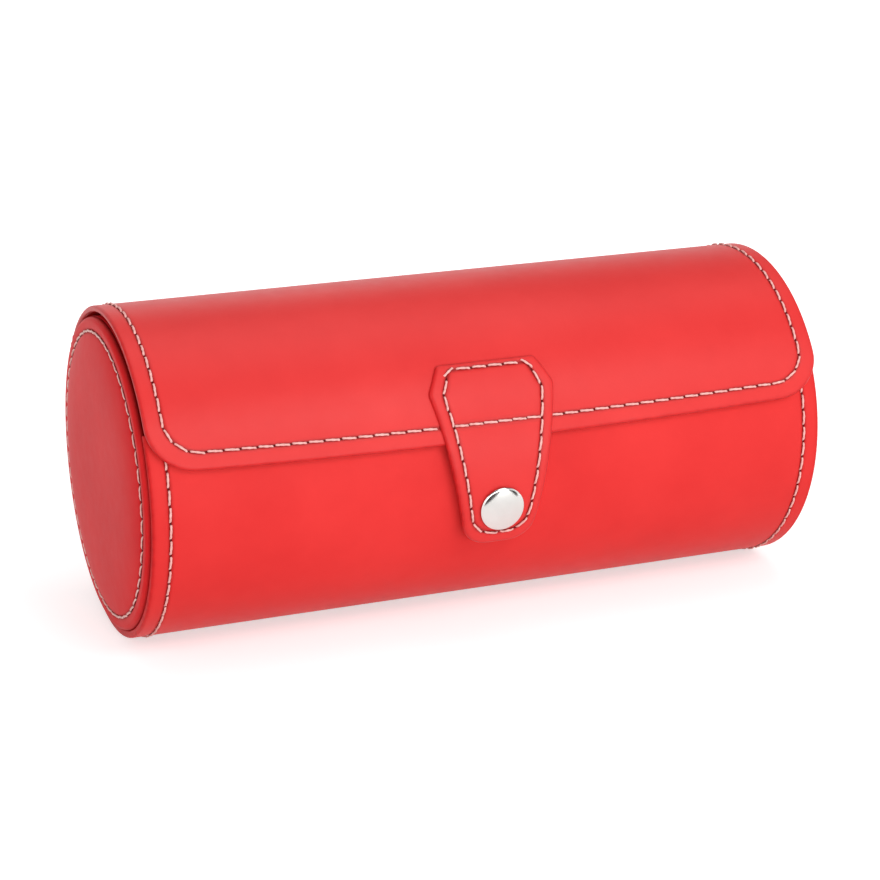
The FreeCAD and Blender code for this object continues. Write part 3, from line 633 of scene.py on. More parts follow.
def lathe(name, profile, origin, axis, materials, segments, marks=None):
    """A piece turned about an axis; profile holds radius and height, from the axis or round a closed loop."""
    axis = Vector(axis).normalized()
    across = axis.orthogonal().normalized()
    other = axis.cross(across)
    points, faces, places, rings = [], [], [], []
    for place, (radius, height) in enumerate(profile):
        ring = []
        for step in range(1 if radius == 0 else segments):
            turn = 2 * pi * step / segments
            out = across * cos(turn) + other * sin(turn)
            ring.append(len(points))
            points.append(Vector(origin) + axis * height + out * radius)
            places.append(place)
        rings.append(ring)
    for first, second in zip(rings, rings[1:]):
        for step in range(segments):
            a = [first[0]] if len(first) == 1 else [first[step], first[(step + 1) % segments]]
            b = [second[0]] if len(second) == 1 else [second[(step + 1) % segments], second[step]]
            if len(a) + len(b) > 2:
                faces.append(a + b)
    ring_marks = {mark: np.asarray(values)[places] for mark, values in (marks or {}).items()}
    piece = new_piece(name, points, faces, materials, ring_marks)
    make_outward(piece)
    return piece


def make_outward(piece):
    """Turn every separate closed form of a mesh so that its faces point outwards."""
    form = bmesh.new()
    form.from_mesh(piece.data)
    bmesh.ops.recalc_face_normals(form, faces=form.faces)
    form.to_mesh(piece.data)
    form.free()


def apply_modifiers(piece):
    graph = bpy.context.evaluated_depsgraph_get()
    mesh = bpy.data.meshes.new_from_object(piece.evaluated_get(graph))
    piece.modifiers.clear()
    piece.data = mesh


# Leather skins

def half_widths(line, rows):
    """Half width of a symmetrical outline at each row."""
    side = line[line[:, 0] > 0]
    side = side[np.argsort(side[:, 1], kind="stable")]
    return np.interp(rows, side[:, 1], side[:, 0])


def side_lines(half, start, stop):
    """Straight flat lines round the roll, one near each end."""
    return [np.array([(side * half, start), (side * half, stop)]) for side in SIDES.values()]


def base_seams():
    start = (BASE_START + SEAM_SETBACK) * BASE_RADIUS
    stop = (BASE_STOP - SEAM_SETBACK) * BASE_RADIUS
    return side_lines(HALF - SEAM_INSET, start, stop)


def base_skin():
    start = BASE_START * BASE_RADIUS
    stop = BASE_STOP * BASE_RADIUS
    rows = crowded(start, stop, PLAIN_EDGE, OPEN_EDGE, WALL_STEP)
    edges = [np.array([(-HALF, stop), (-HALF, start), (HALF, start), (HALF, stop)])]
    layer = Layer(BASE_RADIUS, BASE_RADIUS - LEATHER, END_RADIUS - GLUE, LEATHER, BASE_RIM, BASE_RIM)
    skin = curved_sheet("base_skin", BASE_CIRCLE, rows, np.full(len(rows), HALF), BASE_EDGE, WALL_COLUMNS,
                        layer, edges, base_seams(), LIGHT_MATCHED_BASE_LEATHER)
    settle(skin, "base", "leather", "base_leather")


def lid_line(inset, start, corner, steps=12):
    """A line round the lid's sides and front, drawn in from its edge, with round corners."""
    side = HALF - inset
    front = LID_STOP * LID_RADIUS - inset
    return rounded([(-side, start), (-side, front), (side, front), (side, start)], (corner, corner), steps)


def lid_seam():
    return lid_line(SEAM_INSET, (LID_START + SEAM_SETBACK) * LID_RADIUS, SEAM_CORNER, 16)


def lid_sheet(name, inset, back, step, columns, layer, seams, node):
    """A red sheet of the lid, from the hinge to its bowed front edge."""
    start = back * LID_RADIUS
    outline = lid_line(inset, start, FLAP_CORNER - inset)
    rows = crowded(start, LID_STOP * LID_RADIUS - inset, OPEN_EDGE, WALL_EDGE, step)
    sheet = curved_sheet(name, LID_CIRCLE, rows, half_widths(outline, rows), WALL_EDGE, columns, layer,
                         [outline], seams, RED_LEATHER, bowed)
    settle(sheet, "lid", "leather", node)


def lid_sheets():
    """The lid's skin, turned in at its edges, and the sheet that faces the inside of its board."""
    layer = Layer(LID_RADIUS, LID_RADIUS - LEATHER, LID_RADIUS - LID_WALL, LEATHER, LID_RIM, LID_RIM)
    lid_sheet("lid_skin", 0.0, LID_START, WALL_STEP, LID_COLUMNS, layer, [lid_seam()], "lid_leather")
    outer = LID_RADIUS - LEATHER - LID_BOARD - 2 * GLUE
    layer = Layer(outer, outer - FACING, outer - FACING, 0.0, FACING_RIM, FACING_RIM)
    lid_sheet("lid_facing_sheet", LEATHER + GLUE, LID_START + BOARD_SETBACK, FACING_STEP, WALL_COLUMNS,
              layer, [], "lid_facing")


def hinge_strips():
    """The leather with no board in it, which folds, and the velvet strip behind it."""
    start = HINGE_TURN - HINGE_HALF
    spots = [on_roll(0.0, turn, BASE_RADIUS, 0.0) for turn in (start, HINGE_STOP)]
    radius = BASE_RADIUS - LEATHER - GLUE
    strips = (("hinge_skin", BASE_RADIUS, LEATHER, 0.0, HALF, RED_LEATHER, "leather", "hinge_leather"),
              ("hinge_velvet", radius, LINING, BOARD_SETBACK / 2, PAD_HALF, VELVET, "velvet", "hinge_lining"))
    for name, outer, thick, reach, half, material, slot, node in strips:
        rows = np.linspace(start - reach, HINGE_STOP + reach, HINGE_ROWS) * BASE_RADIUS
        fold = FOLD_DEPTH * np.sin(np.linspace(0, pi, len(rows))) ** 2
        outer = outer - np.repeat(fold, 2 * len(HINGE_EDGE) + WALL_COLUMNS)
        rim = outer - (LEATHER + GLUE + BOARD if slot == "leather" else thick)
        layer = Layer(outer, outer - thick, rim, LEATHER, HINGE_RIM * thick, HINGE_RIM * thick)
        edges = side_lines(half, rows[0], rows[-1])
        seams = side_lines(half - SEAM_INSET, rows[0], rows[-1]) if slot == "leather" else []
        strip = curved_sheet(name, BASE_CIRCLE, rows, np.full(len(rows), half), HINGE_EDGE, WALL_COLUMNS,
                             layer, edges, seams, material)
        span(strip, "base", "lid", spots, slot, node)


# Tab

def tab_spot(half, turn, down=0.0):
    """A flat place on the tab from its half width and its turn above the front's horizontal."""
    return (half, (pi - turn) * TAB_CIRCLE.radius + down)


def tab_outline():
    corners = [tab_spot(0.0, TAB_TOP_TURN), tab_spot(TAB_TOP_HALF, TAB_TOP_TURN),
               tab_spot(TAB_WIDE_HALF, TAB_WIDE_TURN), tab_spot(TAB_END_HALF, TAB_END_TURN),
               tab_spot(0.0, TAB_END_TURN)]
    return rounded(corners, TAB_CORNERS, 14)


def tab_border():
    """The border seam's right half, inside the outline."""
    inset = TAB_SEAM_INSET
    top = TAB_TOP_INSET
    corners = [tab_spot(0.0, TAB_TOP_TURN, top), tab_spot(TAB_TOP_HALF - 0.75 * inset, TAB_TOP_TURN, top),
               tab_spot(TAB_WIDE_HALF - inset, TAB_WIDE_TURN, 0.25 * inset),
               tab_spot(TAB_END_HALF - 0.5 * inset, TAB_END_TURN, -inset),
               tab_spot(0.0, TAB_END_TURN, -inset)]
    return rounded(corners, (0.5 * inset, inset, 1.7 * inset), 14)


def tab_cross():
    """The seam across the tab, in line with the lid's front seam."""
    turn = FLAP_TURN + SEAM_INSET / LID_RADIUS
    half = (TAB_TOP_HALF + TAB_WIDE_HALF) / 2 - 0.93 * TAB_SEAM_INSET
    return np.array([tab_spot(-half, turn), tab_spot(half, turn)])


def bend_spots():
    turns = [pi - FLAP_TURN + side * TAB_BEND_HALF for side in (-1, 1)]
    return [on_roll(0.0, turn, LID_RADIUS, -LID_SHIFT) for turn in turns]


def tab_sheet(name, first, near_first, layer, seams):
    """A sheet of the tab from a flat place down to its tip, with the snap's hole."""
    outline = tab_outline()
    rows = crowded(first, outline[-1, 1], near_first, TAB_EDGE, TAB_STEP)
    sheet = curved_sheet(name, TAB_CIRCLE, rows, half_widths(outline, rows), TAB_EDGE, TAB_COLUMNS, layer,
                         [outline, mirrored(outline)], seams, RED_LEATHER, on_tab)
    cut_snap_hole(sheet)
    return sheet


def tab_leather():
    """The tab's face in one piece from the lid to the tip, and the backing of its tongue."""
    inner = TAB_CIRCLE.radius - TAB_LEATHER
    layer = Layer(TAB_CIRCLE.radius, inner, inner, 0.0, TAB_RIM, TAB_INNER_RIM)
    seam = tab_border()
    seams = [seam, mirrored(seam), tab_cross()]
    face = tab_sheet("tab_face", tab_spot(0.0, TAB_TOP_TURN)[1], TAB_EDGE, layer, seams)
    span(face, "lid", "tab", bend_spots(), "leather", "tab_root", "tab_bend", "tab_tongue")
    inner = LID_RADIUS - TAB_BACKING
    layer = Layer(LID_RADIUS, inner, inner, 0.0, BACKING_RIM, BACKING_INNER_RIM)
    back = tab_sheet("tab_back", TONGUE_START, OPEN_EDGE, layer, [])
    settle(back, "tab", "leather", "tab_backing")


def cut_snap_hole(sheet):
    """The hole that the snap's collar goes through."""
    radius = COLLAR_RADIUS + GLUE
    low = BASE_RADIUS - PUNCH_REACH
    high = BASE_RADIUS + PUNCH_REACH
    profile = [(0.0, low), (radius, low), (radius, high), (0.0, high)]
    punch = lathe("punch", profile, SNAP_ORIGIN, SNAP_AXIS, [], PUNCH_SEGMENTS)
    cut = sheet.modifiers.new("hole", "BOOLEAN")
    cut.operation = "DIFFERENCE"
    cut.solver = "EXACT"
    cut.object = punch
    apply_modifiers(sheet)
    bpy.data.objects.remove(punch)


# Stitching

def seam_stitches(lines, skip=None):
    """Middles and directions of a seam's stitches, on flat polylines."""
    places = []
    for line in lines:
        steps = np.hypot(*np.diff(line, axis=0).T)
        reach = np.concatenate([[0], np.cumsum(steps)])
        count = max(2, round(reach[-1] / STITCH_PITCH))
        marks = np.linspace(0, reach[-1], 2 * count + 1)
        spots = np.stack([np.interp(marks, reach, line[:, axis]) for axis in (0, 1)], -1)
        for number in range(count):
            ahead = spots[2 * number + 2] - spots[2 * number]
            middle = spots[2 * number + 1]
            if skip is None or not skip(*middle):
                places.append((middle, ahead / np.linalg.norm(ahead)))
    return places


def thread_form():
    """One stitch of two-ply thread, rising from one hole and going down the next: along, across, up."""
    points = []
    for share in np.linspace(-1, 1, THREAD_RINGS):
        along = share * STITCH_LENGTH / 2
        lift = THREAD_RADIUS * (0.75 - 1.9 * abs(share) ** 5)
        thick = THREAD_RADIUS * (1 - 0.35 * abs(share) ** 6)
        for turn in full_turn(THREAD_SIDES):
            ply = thick * (1 + PLY_SWELL * cos(2 * turn - THREAD_TWIST * share))
            across = THREAD_SLANT * share + 1.05 * ply * cos(turn)
            points.append((along, across, lift + 0.85 * ply * sin(turn)))
    return np.array(points), ring_faces(THREAD_RINGS, THREAD_SIDES)


def hole_form():
    """The slit that the needle leaves between two stitches, a shallow dish coloured near-black as painted
    shadow: along, across, up.
    """
    points = []
    for scale, height in HOLE_RINGS:
        for turn in full_turn(HOLE_SIDES):
            along = HOLE_LENGTH * scale * cos(turn)
            points.append((along, HOLE_WIDTH * scale * sin(turn), height))
    return np.array(points), ring_faces(len(HOLE_RINGS), HOLE_SIDES)


def stitch_row(name, *rows, thread=THREAD):
    """Threads and needle holes, the holes near-black as painted shadow; a row has flat places and a function
    that lays them on a surface.
    """
    forms = (thread_form(), hole_form())
    points, faces, kinds = [], [], []
    count = 0
    for places, lay in rows:
        holes = [(middle - ahead * STITCH_PITCH / 2, ahead) for middle, ahead in places]
        for kind, spots in enumerate((places, holes)):
            form, form_faces = forms[kind]
            for middle, ahead in spots:
                x = middle[0] + form[:, 0] * ahead[0] - form[:, 1] * ahead[1]
                s = middle[1] + form[:, 0] * ahead[1] + form[:, 1] * ahead[0]
                points.append(lay(x, s, form[:, 2]))
                faces.extend(tuple(count + v for v in face) for face in form_faces)
                kinds.extend([kind] * len(form_faces))
                count += len(form)
    piece = new_piece(name, np.concatenate(points), faces, [thread, NEEDLE_HOLE_SHADE], sharp=80.0)
    piece.data.polygons.foreach_set("material_index", kinds)
    make_outward(piece)
    return piece


def lay_on(circle, place=as_drawn, depth=0.0, lift=1.0):
    """Stitches on a sheet, some depth below its outer face; lift scales their height."""
    def lay(x, s, height):
        x, s = place(x, s)
        return on_roll(x, s / circle.radius, circle.radius - depth + lift * height, circle.shift)
    return lay


def lay_on_end(side):
    """Stitches on an end's face: x outwards from the seam ring, s round it."""
    def lay(x, s, height):
        turn = s / END_RING
        radius = END_RING + x
        out = side * (END_FACE - END_CROWN + END_STITCH_LIFT * height)
        return np.stack([out, radius * np.cos(turn), AXIS_Z + radius * np.sin(turn)], -1)
    return lay


def base_stitches():
    """Seams along both sides of the base, left out where the case stands."""
    clear = FOOT_CLEAR / BASE_RADIUS
    for name, line in zip(SIDES, base_seams()):
        places = seam_stitches([line], lambda x, s: abs(s / BASE_RADIUS - 1.5 * pi) < clear)
        row = stitch_row(f"base_{name}_seam", (places, lay_on(BASE_CIRCLE)))
        settle(row, "base", "thread", f"base_{name}_stitches")


def lid_stitches():
    """The seam round the lid, left out under the tab, and its inner side on the overlapping flap."""
    front = LID_STOP * LID_RADIUS - SEAM_INSET - SEAM_SLACK
    covered = TAB_WIDE_HALF - SEAM_SLACK
    margin = BASE_START * LID_RADIUS
    places = seam_stitches([lid_seam()], lambda x, s: abs(x - TAB_MIDDLE) < covered and s > front)
    under = seam_stitches([lid_seam()], lambda x, s: s < margin)
    row = stitch_row("lid_seam_row", (places, lay_on(LID_CIRCLE, bowed)),
                     (under, lay_on(LID_CIRCLE, bowed, LID_WALL, UNDER_STITCH_LIFT)))
    settle(row, "lid", "thread", "lid_stitches")


def end_stitches():
    """A ring of stitches on each padded end."""
    turns = np.linspace(0, 2 * pi, END_SEAM_POINTS)
    ring = np.stack([np.zeros(len(turns)), turns * END_RING], -1)
    for name, side in SIDES.items():
        row = stitch_row(f"{name}_end_seam", (seam_stitches([ring]), lay_on_end(side)), thread=LIGHT_MATCHED_END_THREAD)
        settle(row, "base", "thread", f"{name}_end_stitches")


def tab_stitches():
    """The tab's border and cross seams, and the border's inner side on the tongue."""
    seam = tab_border()
    borders = [seam, mirrored(seam)]
    tongue = TONGUE_START + STITCH_LENGTH / 2
    places = seam_stitches(borders + [tab_cross()])
    under = seam_stitches(borders, lambda x, s: s < tongue)
    thick = TAB_LEATHER + GLUE + TAB_BACKING
    row = stitch_row("tab_seam_row", (places, lay_on(TAB_CIRCLE, on_tab)),
                     (under, lay_on(TAB_CIRCLE, on_tab, thick, UNDER_STITCH_LIFT)))
    span(row, "lid", "tab", bend_spots(), "thread", "tab_root_stitches", "tab_stitches")


# Ends

def end_profile():
    """Profile of a padded end, as radius and height, with its shares of wear and of painted shade in the
    groove and down the side.

    A plump face falls to the seam ring, then a rounded margin runs out to the side."""
    depth = END_FACE - END_BACK
    inside = [END_RING * (1 - (1 - share) ** 2.2) for share in np.linspace(0, 1, 44)[:-1]]
    margin = np.linspace(END_RING, END_RADIUS - END_RIM, 16)
    profile, wear_and_groove_shade, painted_crease_shade = [], [], []
    for radius in inside + list(margin):
        groove = exp(-((radius - END_RING) / END_GROOVE_WIDTH) ** 2)
        plump = END_CROWN * (1 - min(1.0, radius / END_RING) ** CROWN_POWER)
        profile.append((radius, depth - END_CROWN + plump - END_GROOVE * groove))
        # The groove gets painted shade; the shoulder and the side get edge wear.
        wear_and_groove_shade.append(0.5 * groove)
        # Painted shade along the seam ring's groove.
        painted_crease_shade.append(PAINTED_CREASE_SHADE * exp(-((radius - END_RING) / PAINTED_CREASE_SHADE_WIDTH) ** 2))
    middle = (END_RADIUS - END_RIM, depth - END_CROWN - END_RIM)
    shoulder = arc(middle, END_RIM, pi / 2, 0.0, 8)[1:]
    for step, spot in enumerate(shoulder, 1):
        share = step / len(shoulder)
        profile.append(spot)
        wear_and_groove_shade.append(0.5 * share)
        # Painted shade darkens the shoulder as it turns down towards the gap.
        painted_crease_shade.append(PAINTED_CREASE_SHADE * share ** 4)
    profile.extend([(END_RADIUS, END_FOOT), (END_RADIUS - END_FOOT, 0.0), (0.0, 0.0)])
    wear_and_groove_shade.extend([0.8, 0.8, 0.0])
    # The side down into the gap gets full painted shade.
    painted_crease_shade.extend([PAINTED_CREASE_SHADE, PAINTED_CREASE_SHADE, 0.0])
    return profile, {"edge": wear_and_groove_shade, "painted_crease_shade": painted_crease_shade}


def lining_disc(radius, thick):
    """Profile of a velvet disc with a soft edge and a slightly full face."""
    disc = [(0.0, 0.0), (radius, 0.0), (radius, 0.5 * thick), (radius - 0.15 * MM, 0.85 * thick),
            (radius - 0.5 * MM, thick)]
    for share in (0.9, 0.7, 0.45, 0.2, 0.0):
        disc.append((radius * share, thick + LINING_SWELL * (1 - share ** 2)))
    return disc


def ends():
    """A padded leather cover outside and a velvet disc inside, at both ends."""
    profile, marks = end_profile()
    for name, side in SIDES.items():
        cover = lathe(f"{name}_end_pad", profile, (side * END_BACK, 0, AXIS_Z), (side, 0, 0),
                      [LIGHT_MATCHED_END_LEATHER], END_SEGMENTS, marks)
        settle(cover, "base", "leather", f"{name}_end_cover", f"{name}_end_padding")
        low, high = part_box(f"{name}_end_lining")
        back = low.x if side < 0 else high.x
        disc = lining_disc((high.z - low.z) / 2, high.x - low.x)
        lining = lathe(f"{name}_end_velvet", disc, (back, 0, AXIS_Z), (-side, 0, 0), [VELVET],
                       DISC_SEGMENTS)
        settle(lining, "base", "velvet", f"{name}_end_lining")


# Velvet inside

def velvet_pad(name, body, circle, outer, start, stop, half, *nodes):
    """A padded velvet sheet inside the wall, from one turn to another."""
    start = start * circle.radius
    stop = stop * circle.radius
    rows = crowded(start, stop, PAD_EDGE, PAD_EDGE, PAD_STEP)
    corners = [(-half, start), (-half, stop), (half, stop), (half, start), (-half, start)]
    inner = outer - PAD_THICK
    layer = Layer(outer, inner, inner, 0.0, PAD_RIM, PAD_RIM)
    pad = curved_sheet(name, circle, rows, np.full(len(rows), half), PAD_EDGE, PAD_COLUMNS, layer,
                       [np.array(corners)], [], VELVET)
    settle(pad, body, "velvet", *nodes)


def pads():
    """Padded velvet in the base's trough, and under the lid as far as the base's lip lets it."""
    outer = BASE_RADIUS - LEATHER - BOARD - 2 * GLUE
    velvet_pad("trough_pad", "base", BASE_CIRCLE, outer, BASE_START, BASE_STOP - BOARD_SETBACK, PAD_HALF,
               "base_foam", "base_lining")
    stop = BASE_START - LIP_ROOM / (outer - PAD_THICK)
    velvet_pad("lid_pad", "lid", LID_CIRCLE, LID_RADIUS - LID_WALL - GLUE, LID_START + BOARD_SETBACK, stop,
               LID_PAD_HALF, "lid_foam", "lid_lining")


def divider_outline(radius, top, corner):
    """Outline of a divider in the plane across the roll: a circle cut level, its top corners rounded."""
    height = top - corner
    reach = sqrt((radius - corner) ** 2 - height ** 2)
    lean = atan2(height, reach)
    line = arc((reach, height), corner, pi / 2, lean, 12)
    line += arc((0.0, 0.0), radius, lean, -pi - lean, 72)[1:-1]
    line += arc((-reach, height), corner, pi - lean, pi / 2, 12)
    return np.array(line)


def divider_rings(outline):
    """The outline drawn in step by step, each ring with its share of half the thickness."""
    ahead = np.roll(outline, -1, 0) - np.roll(outline, 1, 0)
    normal = np.stack([ahead[:, 1], -ahead[:, 0]], -1)
    normal /= np.linalg.norm(normal, axis=1)[:, None]
    if ((outline - outline.mean(0)) * normal).sum() > 0:
        normal = -normal
    return [(outline + normal * inset * MM, share) for inset, share in DIVIDER_RINGS]


def dividers():
    """Velvet pouches over the divider boards, with soft edges and slightly full faces."""
    for name in SIDES:
        low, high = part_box(f"{name}_divider_cover")
        middle = (low.x + high.x) / 2
        half = (high.x - low.x) / 2
        outline = divider_outline((high.y - low.y) / 2, high.z - AXIS_Z, DIVIDER_CORNER)
        fronts = divider_rings(outline)
        backs = [(line, -share) for line, share in fronts[:0:-1]]
        points = [(middle + half * share, y, AXIS_Z + z) for line, share in backs + fronts for y, z in line]
        faces = ring_faces(len(backs + fronts), len(outline))
        cover = new_piece(f"{name}_divider_velvet", points, faces, [VELVET], sharp=60.0)
        make_outward(cover)
        settle(cover, "base", "velvet", f"{name}_divider_cover")


# Watch pillows

def pillow_block(width, height, length, corner):
    """A block along X with rounded long edges, made of rings, centred on the origin."""
    line = []
    for quarter, (side_y, side_z) in enumerate(((1, 1), (-1, 1), (-1, -1), (1, -1))):
        middle = (side_y * (width / 2 - corner), side_z * (height / 2 - corner))
        line += arc(middle, corner, quarter * pi / 2, (quarter + 1) * pi / 2, 8)
    points = [(x, y, z) for x in np.linspace(-length / 2, length / 2, PILLOW_RINGS) for y, z in line]
    return points, ring_faces(PILLOW_RINGS, len(line))


def blown_up(piece):
    """Swell a cushion with cloth under pressure, its movement capped."""
    scene = bpy.context.scene
    before = np.array([v.co for v in piece.data.vertices])
    cloth = piece.modifiers.new("cloth", "CLOTH")
    cloth.settings.use_pressure = True
    cloth.settings.uniform_pressure_force = PILLOW_PRESSURE
    cloth.settings.effector_weights.gravity = 0.0
    cloth.settings.quality = 5
    for number in range(1, PILLOW_FRAMES + 1):
        scene.frame_set(number)
    graph = bpy.context.evaluated_depsgraph_get()
    swollen = piece.evaluated_get(graph).to_mesh()
    after = np.array([v.co for v in swollen.vertices])
    piece.evaluated_get(graph).to_mesh_clear()
    piece.modifiers.remove(cloth)
    scene.frame_set(1)
    move = after - before
    length = np.linalg.norm(move, axis=1)[:, None]
    move *= np.minimum(1.0, PILLOW_MOVE / np.maximum(length, 1e-9))
    piece.data.vertices.foreach_set("co", (before + move).astype(np.float32).ravel())
    piece.data.update()


def pillow_mesh(size):
    """One cushion, swollen and then sewn along the rims of its two end caps."""
    shrink = 2 * PILLOW_SHRINK
    points, faces = pillow_block(size.y - shrink, size.z - shrink, size.x - shrink, PILLOW_CORNER)
    cushion = new_piece("pillow_form", points, faces, [VELVET])
    remesh = cushion.modifiers.new("remesh", "REMESH")
    remesh.mode = "VOXEL"
    remesh.voxel_size = PILLOW_VOXEL
    apply_modifiers(cushion)
    blown_up(cushion)
    smooth = cushion.modifiers.new("smooth", "SUBSURF")
    smooth.levels = 2
    smooth.render_levels = 2
    apply_modifiers(cushion)
    spots = np.array([v.co for v in cushion.data.vertices])
    limit = np.array(size) / 2
    seam = limit[0] - PILLOW_SEAM
    near = np.exp(-((np.abs(spots[:, 0]) - seam) / PILLOW_SEAM_WIDTH) ** 2)
    around = np.hypot(spots[:, 1] / limit[1], spots[:, 2] / limit[2])
    pull = near * np.clip((around - PULL_START) / PULL_REACH, 0, 1)
    pucker = 1 + PUCKER_SHARE * np.sin(np.arctan2(spots[:, 2], spots[:, 1]) * PUCKERS)
    spots[:, 1:] *= (1 - PILLOW_PULL * pull * pucker)[:, None]
    spots = np.clip(spots, -limit, limit)
    cushion.data.vertices.foreach_set("co", spots.astype(np.float32).ravel())
    cushion.data.shade_smooth()
    mesh = cushion.data
    bpy.data.objects.remove(cushion)
    return mesh


def pillows():
    """Three copies of one cushion, each on its own body."""
    low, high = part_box("middle_pillow_caps")
    mesh = pillow_mesh(high - low)
    for name in ("left", "middle", "right"):
        low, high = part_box(f"{name}_pillow_caps")
        pillow = new_object(f"{name}_pillow", mesh.copy())
        pillow.data.transform(Matrix.Translation((low + high) / 2))
        settle(pillow, f"{name}_pillow", "velvet", f"{name}_pillow_core", f"{name}_pillow_sleeve",
               f"{name}_pillow_caps")


# Snap

def turned(name, profile, segments, body, node):
    """A nickel piece turned about the snap's axis."""
    piece = lathe(name, profile, SNAP_ORIGIN, SNAP_AXIS, [NICKEL], segments)
    settle(piece, body, "nickel", node)


def snap_cap():
    """A dome with a rolled rim, and the shank behind it."""
    seat = CAP_SEAT + GLUE
    reach = CAP_RADIUS - CAP_RIM
    dome = []
    for share in np.linspace(0, 1, 15):
        dome.append((reach * share, seat + CAP_HEIGHT - (CAP_HEIGHT - CAP_EDGE) * share ** DOME_POWER))
    for step in range(1, 9):
        turn = pi * (0.12 + 0.88 * step / 8)
        dome.append((reach + CAP_RIM * sin(turn), seat + CAP_BEAD * (1 + cos(turn))))
    dome += [(SHANK_RADIUS, seat), (SHANK_RADIUS, seat - SHANK_LENGTH), (0.0, seat - SHANK_LENGTH)]
    turned("snap_button", dome, CAP_SEGMENTS, "tab", "snap_cap")


def snap_socket():
    """The ring on the tab's back, and its collar through the leather."""
    back = LID_RADIUS - TAB_BACKING + LID_SHIFT * cos(SNAP_TURN)
    face = back - SOCKET_DEPTH
    base = back - SOCKET_GAP
    top = CAP_SEAT - GLUE
    mouth = (SOCKET_BORE, face + SOCKET_BEVEL)
    ring = [mouth, (SOCKET_BORE + SOCKET_BEVEL, face)]
    ring += arc((FLANGE_RADIUS - FLANGE_RIM, face + FLANGE_RIM), FLANGE_RIM, -pi / 2, 0.0, 2)
    ring += [(FLANGE_RADIUS, base), (COLLAR_RADIUS, base), (COLLAR_RADIUS, top), (SOCKET_BORE, top), mouth]
    turned("snap_socket_ring", ring, SNAP_SEGMENTS, "tab", "snap_socket")


def snap_stud():
    """The stud on the base: a thin plate, a neck and a ball, round the post."""
    top = CAP_SEAT - TAB_LEATHER
    foot = BASE_RADIUS + GLUE
    middle = top - BALL_HALF
    stud = [(POST_RADIUS, foot), (PLATE_RADIUS, foot), (PLATE_RADIUS, foot + PLATE_RIM),
            (PLATE_RADIUS - PLATE_RIM, foot + PLATE_THICK), (NECK_RADIUS + NECK_FLARE, foot + PLATE_CROWN),
            (NECK_RADIUS, foot + NECK_START)]
    for turn in np.linspace(0, pi, 9):
        radius = NECK_RADIUS + (BALL_RADIUS - NECK_RADIUS) * sin(turn)
        stud.append((radius, middle - BALL_HALF * cos(turn)))
    stud += [(POST_RADIUS, top), (POST_RADIUS, foot)]
    turned("snap_ball_stud", stud, SNAP_SEGMENTS, "base", "snap_stud")


def finish_cad_nodes():
    """Hidden boards and small metal pieces keep their CAD shapes and get finished materials."""
    finishes = {"base_board": LINED_BOARD, "lid_board": LINED_BOARD, "left_end_board": LIGHT_MATCHED_END_LEATHER,
                "right_end_board": LIGHT_MATCHED_END_LEATHER, "left_divider_board": LINED_BOARD,
                "right_divider_board": LINED_BOARD, "snap_post": NICKEL, "snap_spring": NICKEL}
    for node, material in finishes.items():
        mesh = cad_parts[node].data
        mesh.materials.clear()
        mesh.materials.append(material)


# Studio

def aimed(place, axis):
    """The turn that points an axis of something at a place towards the case."""
    return (Vector((0, 0, AXIS_Z)) - Vector(place)).to_track_quat(axis, "Y").to_euler()


def area_light(name, place, width, height, power):
    data = bpy.data.lights.new(name, "AREA")
    data.shape = "RECTANGLE"
    data.size = width
    data.size_y = height
    data.energy = power
    lamp = new_object(name, data)
    lamp.location = place
    lamp.rotation_euler = aimed(place, "-Z")


def seen_directly(tree):
    """1 for camera, mirror and see-through rays, which show the plain background."""
    seen = add_node(tree, "LightPath", "Is Camera Ray", {})
    rays = seen.node.outputs
    for ray in ("Is Glossy Ray", "Is Transmission Ray"):
        seen = add_node(tree, "Math", 0, {0: seen, 1: rays[ray]}, operation="MAXIMUM")
    return seen


def white_world():
    """Even fill light; a white surround with a darker ceiling is what mirrors and the camera see."""
    world = bpy.data.worlds.new("studio")
    bpy.context.scene.world = world
    world.use_nodes = True
    tree = world.node_tree
    tree.nodes.clear()
    height = add_node(tree, "SeparateXYZ", "Z", {0: add_node(tree, "TexCoord", "Generated", {})})
    ceiling = ramp(height, (1, 1, 1), (0.12, 0.12, 0.12), 0.3, 0.65)
    fill = add_node(tree, "Background", 0, {"Color": (1, 1, 1, 1), "Strength": FILL_LIGHT})
    shown = add_node(tree, "Background", 0, {"Color": ceiling})
    pick = add_node(tree, "MixShader", 0, {"Fac": seen_directly(tree), 1: fill, 2: shown})
    fill_inputs(tree.nodes.new("ShaderNodeOutputWorld"), {"Surface": pick})


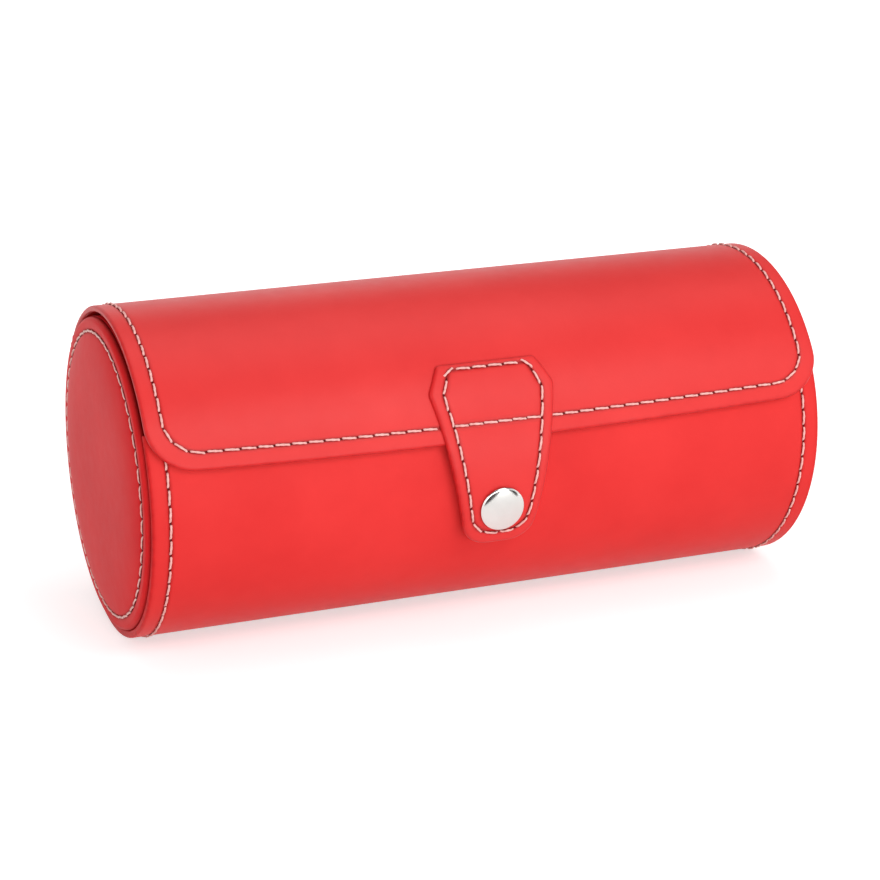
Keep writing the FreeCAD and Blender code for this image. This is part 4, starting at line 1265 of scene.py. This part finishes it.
def floor():
    """A pale floor that keeps the case's shadow and melts into the white background."""
    material, shader, place = new_material("studio_floor")
    tree = material.node_tree
    away = add_node(tree, "VectorMath", "Value", {0: place}, operation="LENGTH")
    paler = spread(away, *FLOOR_GLOW, *FLOOR_GLOW_REACH)
    glow = add_node(tree, "Math", 0, {0: seen_directly(tree), 1: paler}, operation="MULTIPLY")
    fill_inputs(shader, {
        "Base Color": (0.8, 0.8, 0.8, 1),
        "Roughness": 0.9,
        "Specular IOR Level": 0.0,
        "Emission Color": (1, 1, 1, 1),
        "Emission Strength": glow,
    })
    points = [(x * FLOOR_HALF, y * FLOOR_HALF, 0) for x, y in ((-1, -1), (1, -1), (1, 1), (-1, 1))]
    plane = new_piece("studio_floor", points, [(0, 1, 2, 3)], [material])
    plane.location.z = -FLOOR_DROP


def dark_card(name, place, side):
    """A black card in front of the case, cut slantwise, that only mirrors see; side is where it is tall."""
    material, shader, _ = new_material(name)
    fill_inputs(shader, {"Base Color": (0.02, 0.02, 0.02, 1), "Roughness": 0.8})
    across = CARD_WIDTH / 2
    up = CARD_HEIGHT / 2
    points = [(-across, up, 0), (across, up, 0), (-side * across, -up, 0)]
    card = new_piece(name, points, [(0, 1, 2)], [material])
    card.location = place
    card.rotation_euler = aimed(place, "Z")
    for ray in ("camera", "diffuse", "shadow", "transmission"):
        setattr(card, "visible_" + ray, False)


def camera():
    """Seen from the front left, a little above, as the case is photographed."""
    level = cos(CAMERA_ELEVATION)
    back = Vector((sin(CAMERA_AZIMUTH) * level, -cos(CAMERA_AZIMUTH) * level, sin(CAMERA_ELEVATION)))
    data = bpy.data.cameras.new("camera")
    data.lens = CAMERA_LENS
    data.sensor_width = CAMERA_SENSOR
    data.shift_y = CAMERA_SHIFT
    view = new_object("camera", data)
    view.location = Vector((0, 0, AXIS_Z)) + back * CAMERA_AWAY
    view.rotation_euler = aimed(view.location, "-Z")
    bpy.context.scene.camera = view


def studio():
    bpy.context.scene.view_settings.view_transform = "Standard"
    white_world()
    floor()
    for name, (place, width, height, power) in SOFT_BOXES.items():
        area_light(name, place, width, height, power)
    for name, (place, side) in DARK_CARDS.items():
        dark_card(name, place, side)
    camera()


base_skin()
lid_sheets()
hinge_strips()
tab_leather()
base_stitches()
lid_stitches()
end_stitches()
tab_stitches()
ends()
pads()
dividers()
pillows()
snap_cap()
snap_socket()
snap_stud()
finish_cad_nodes()
studio()
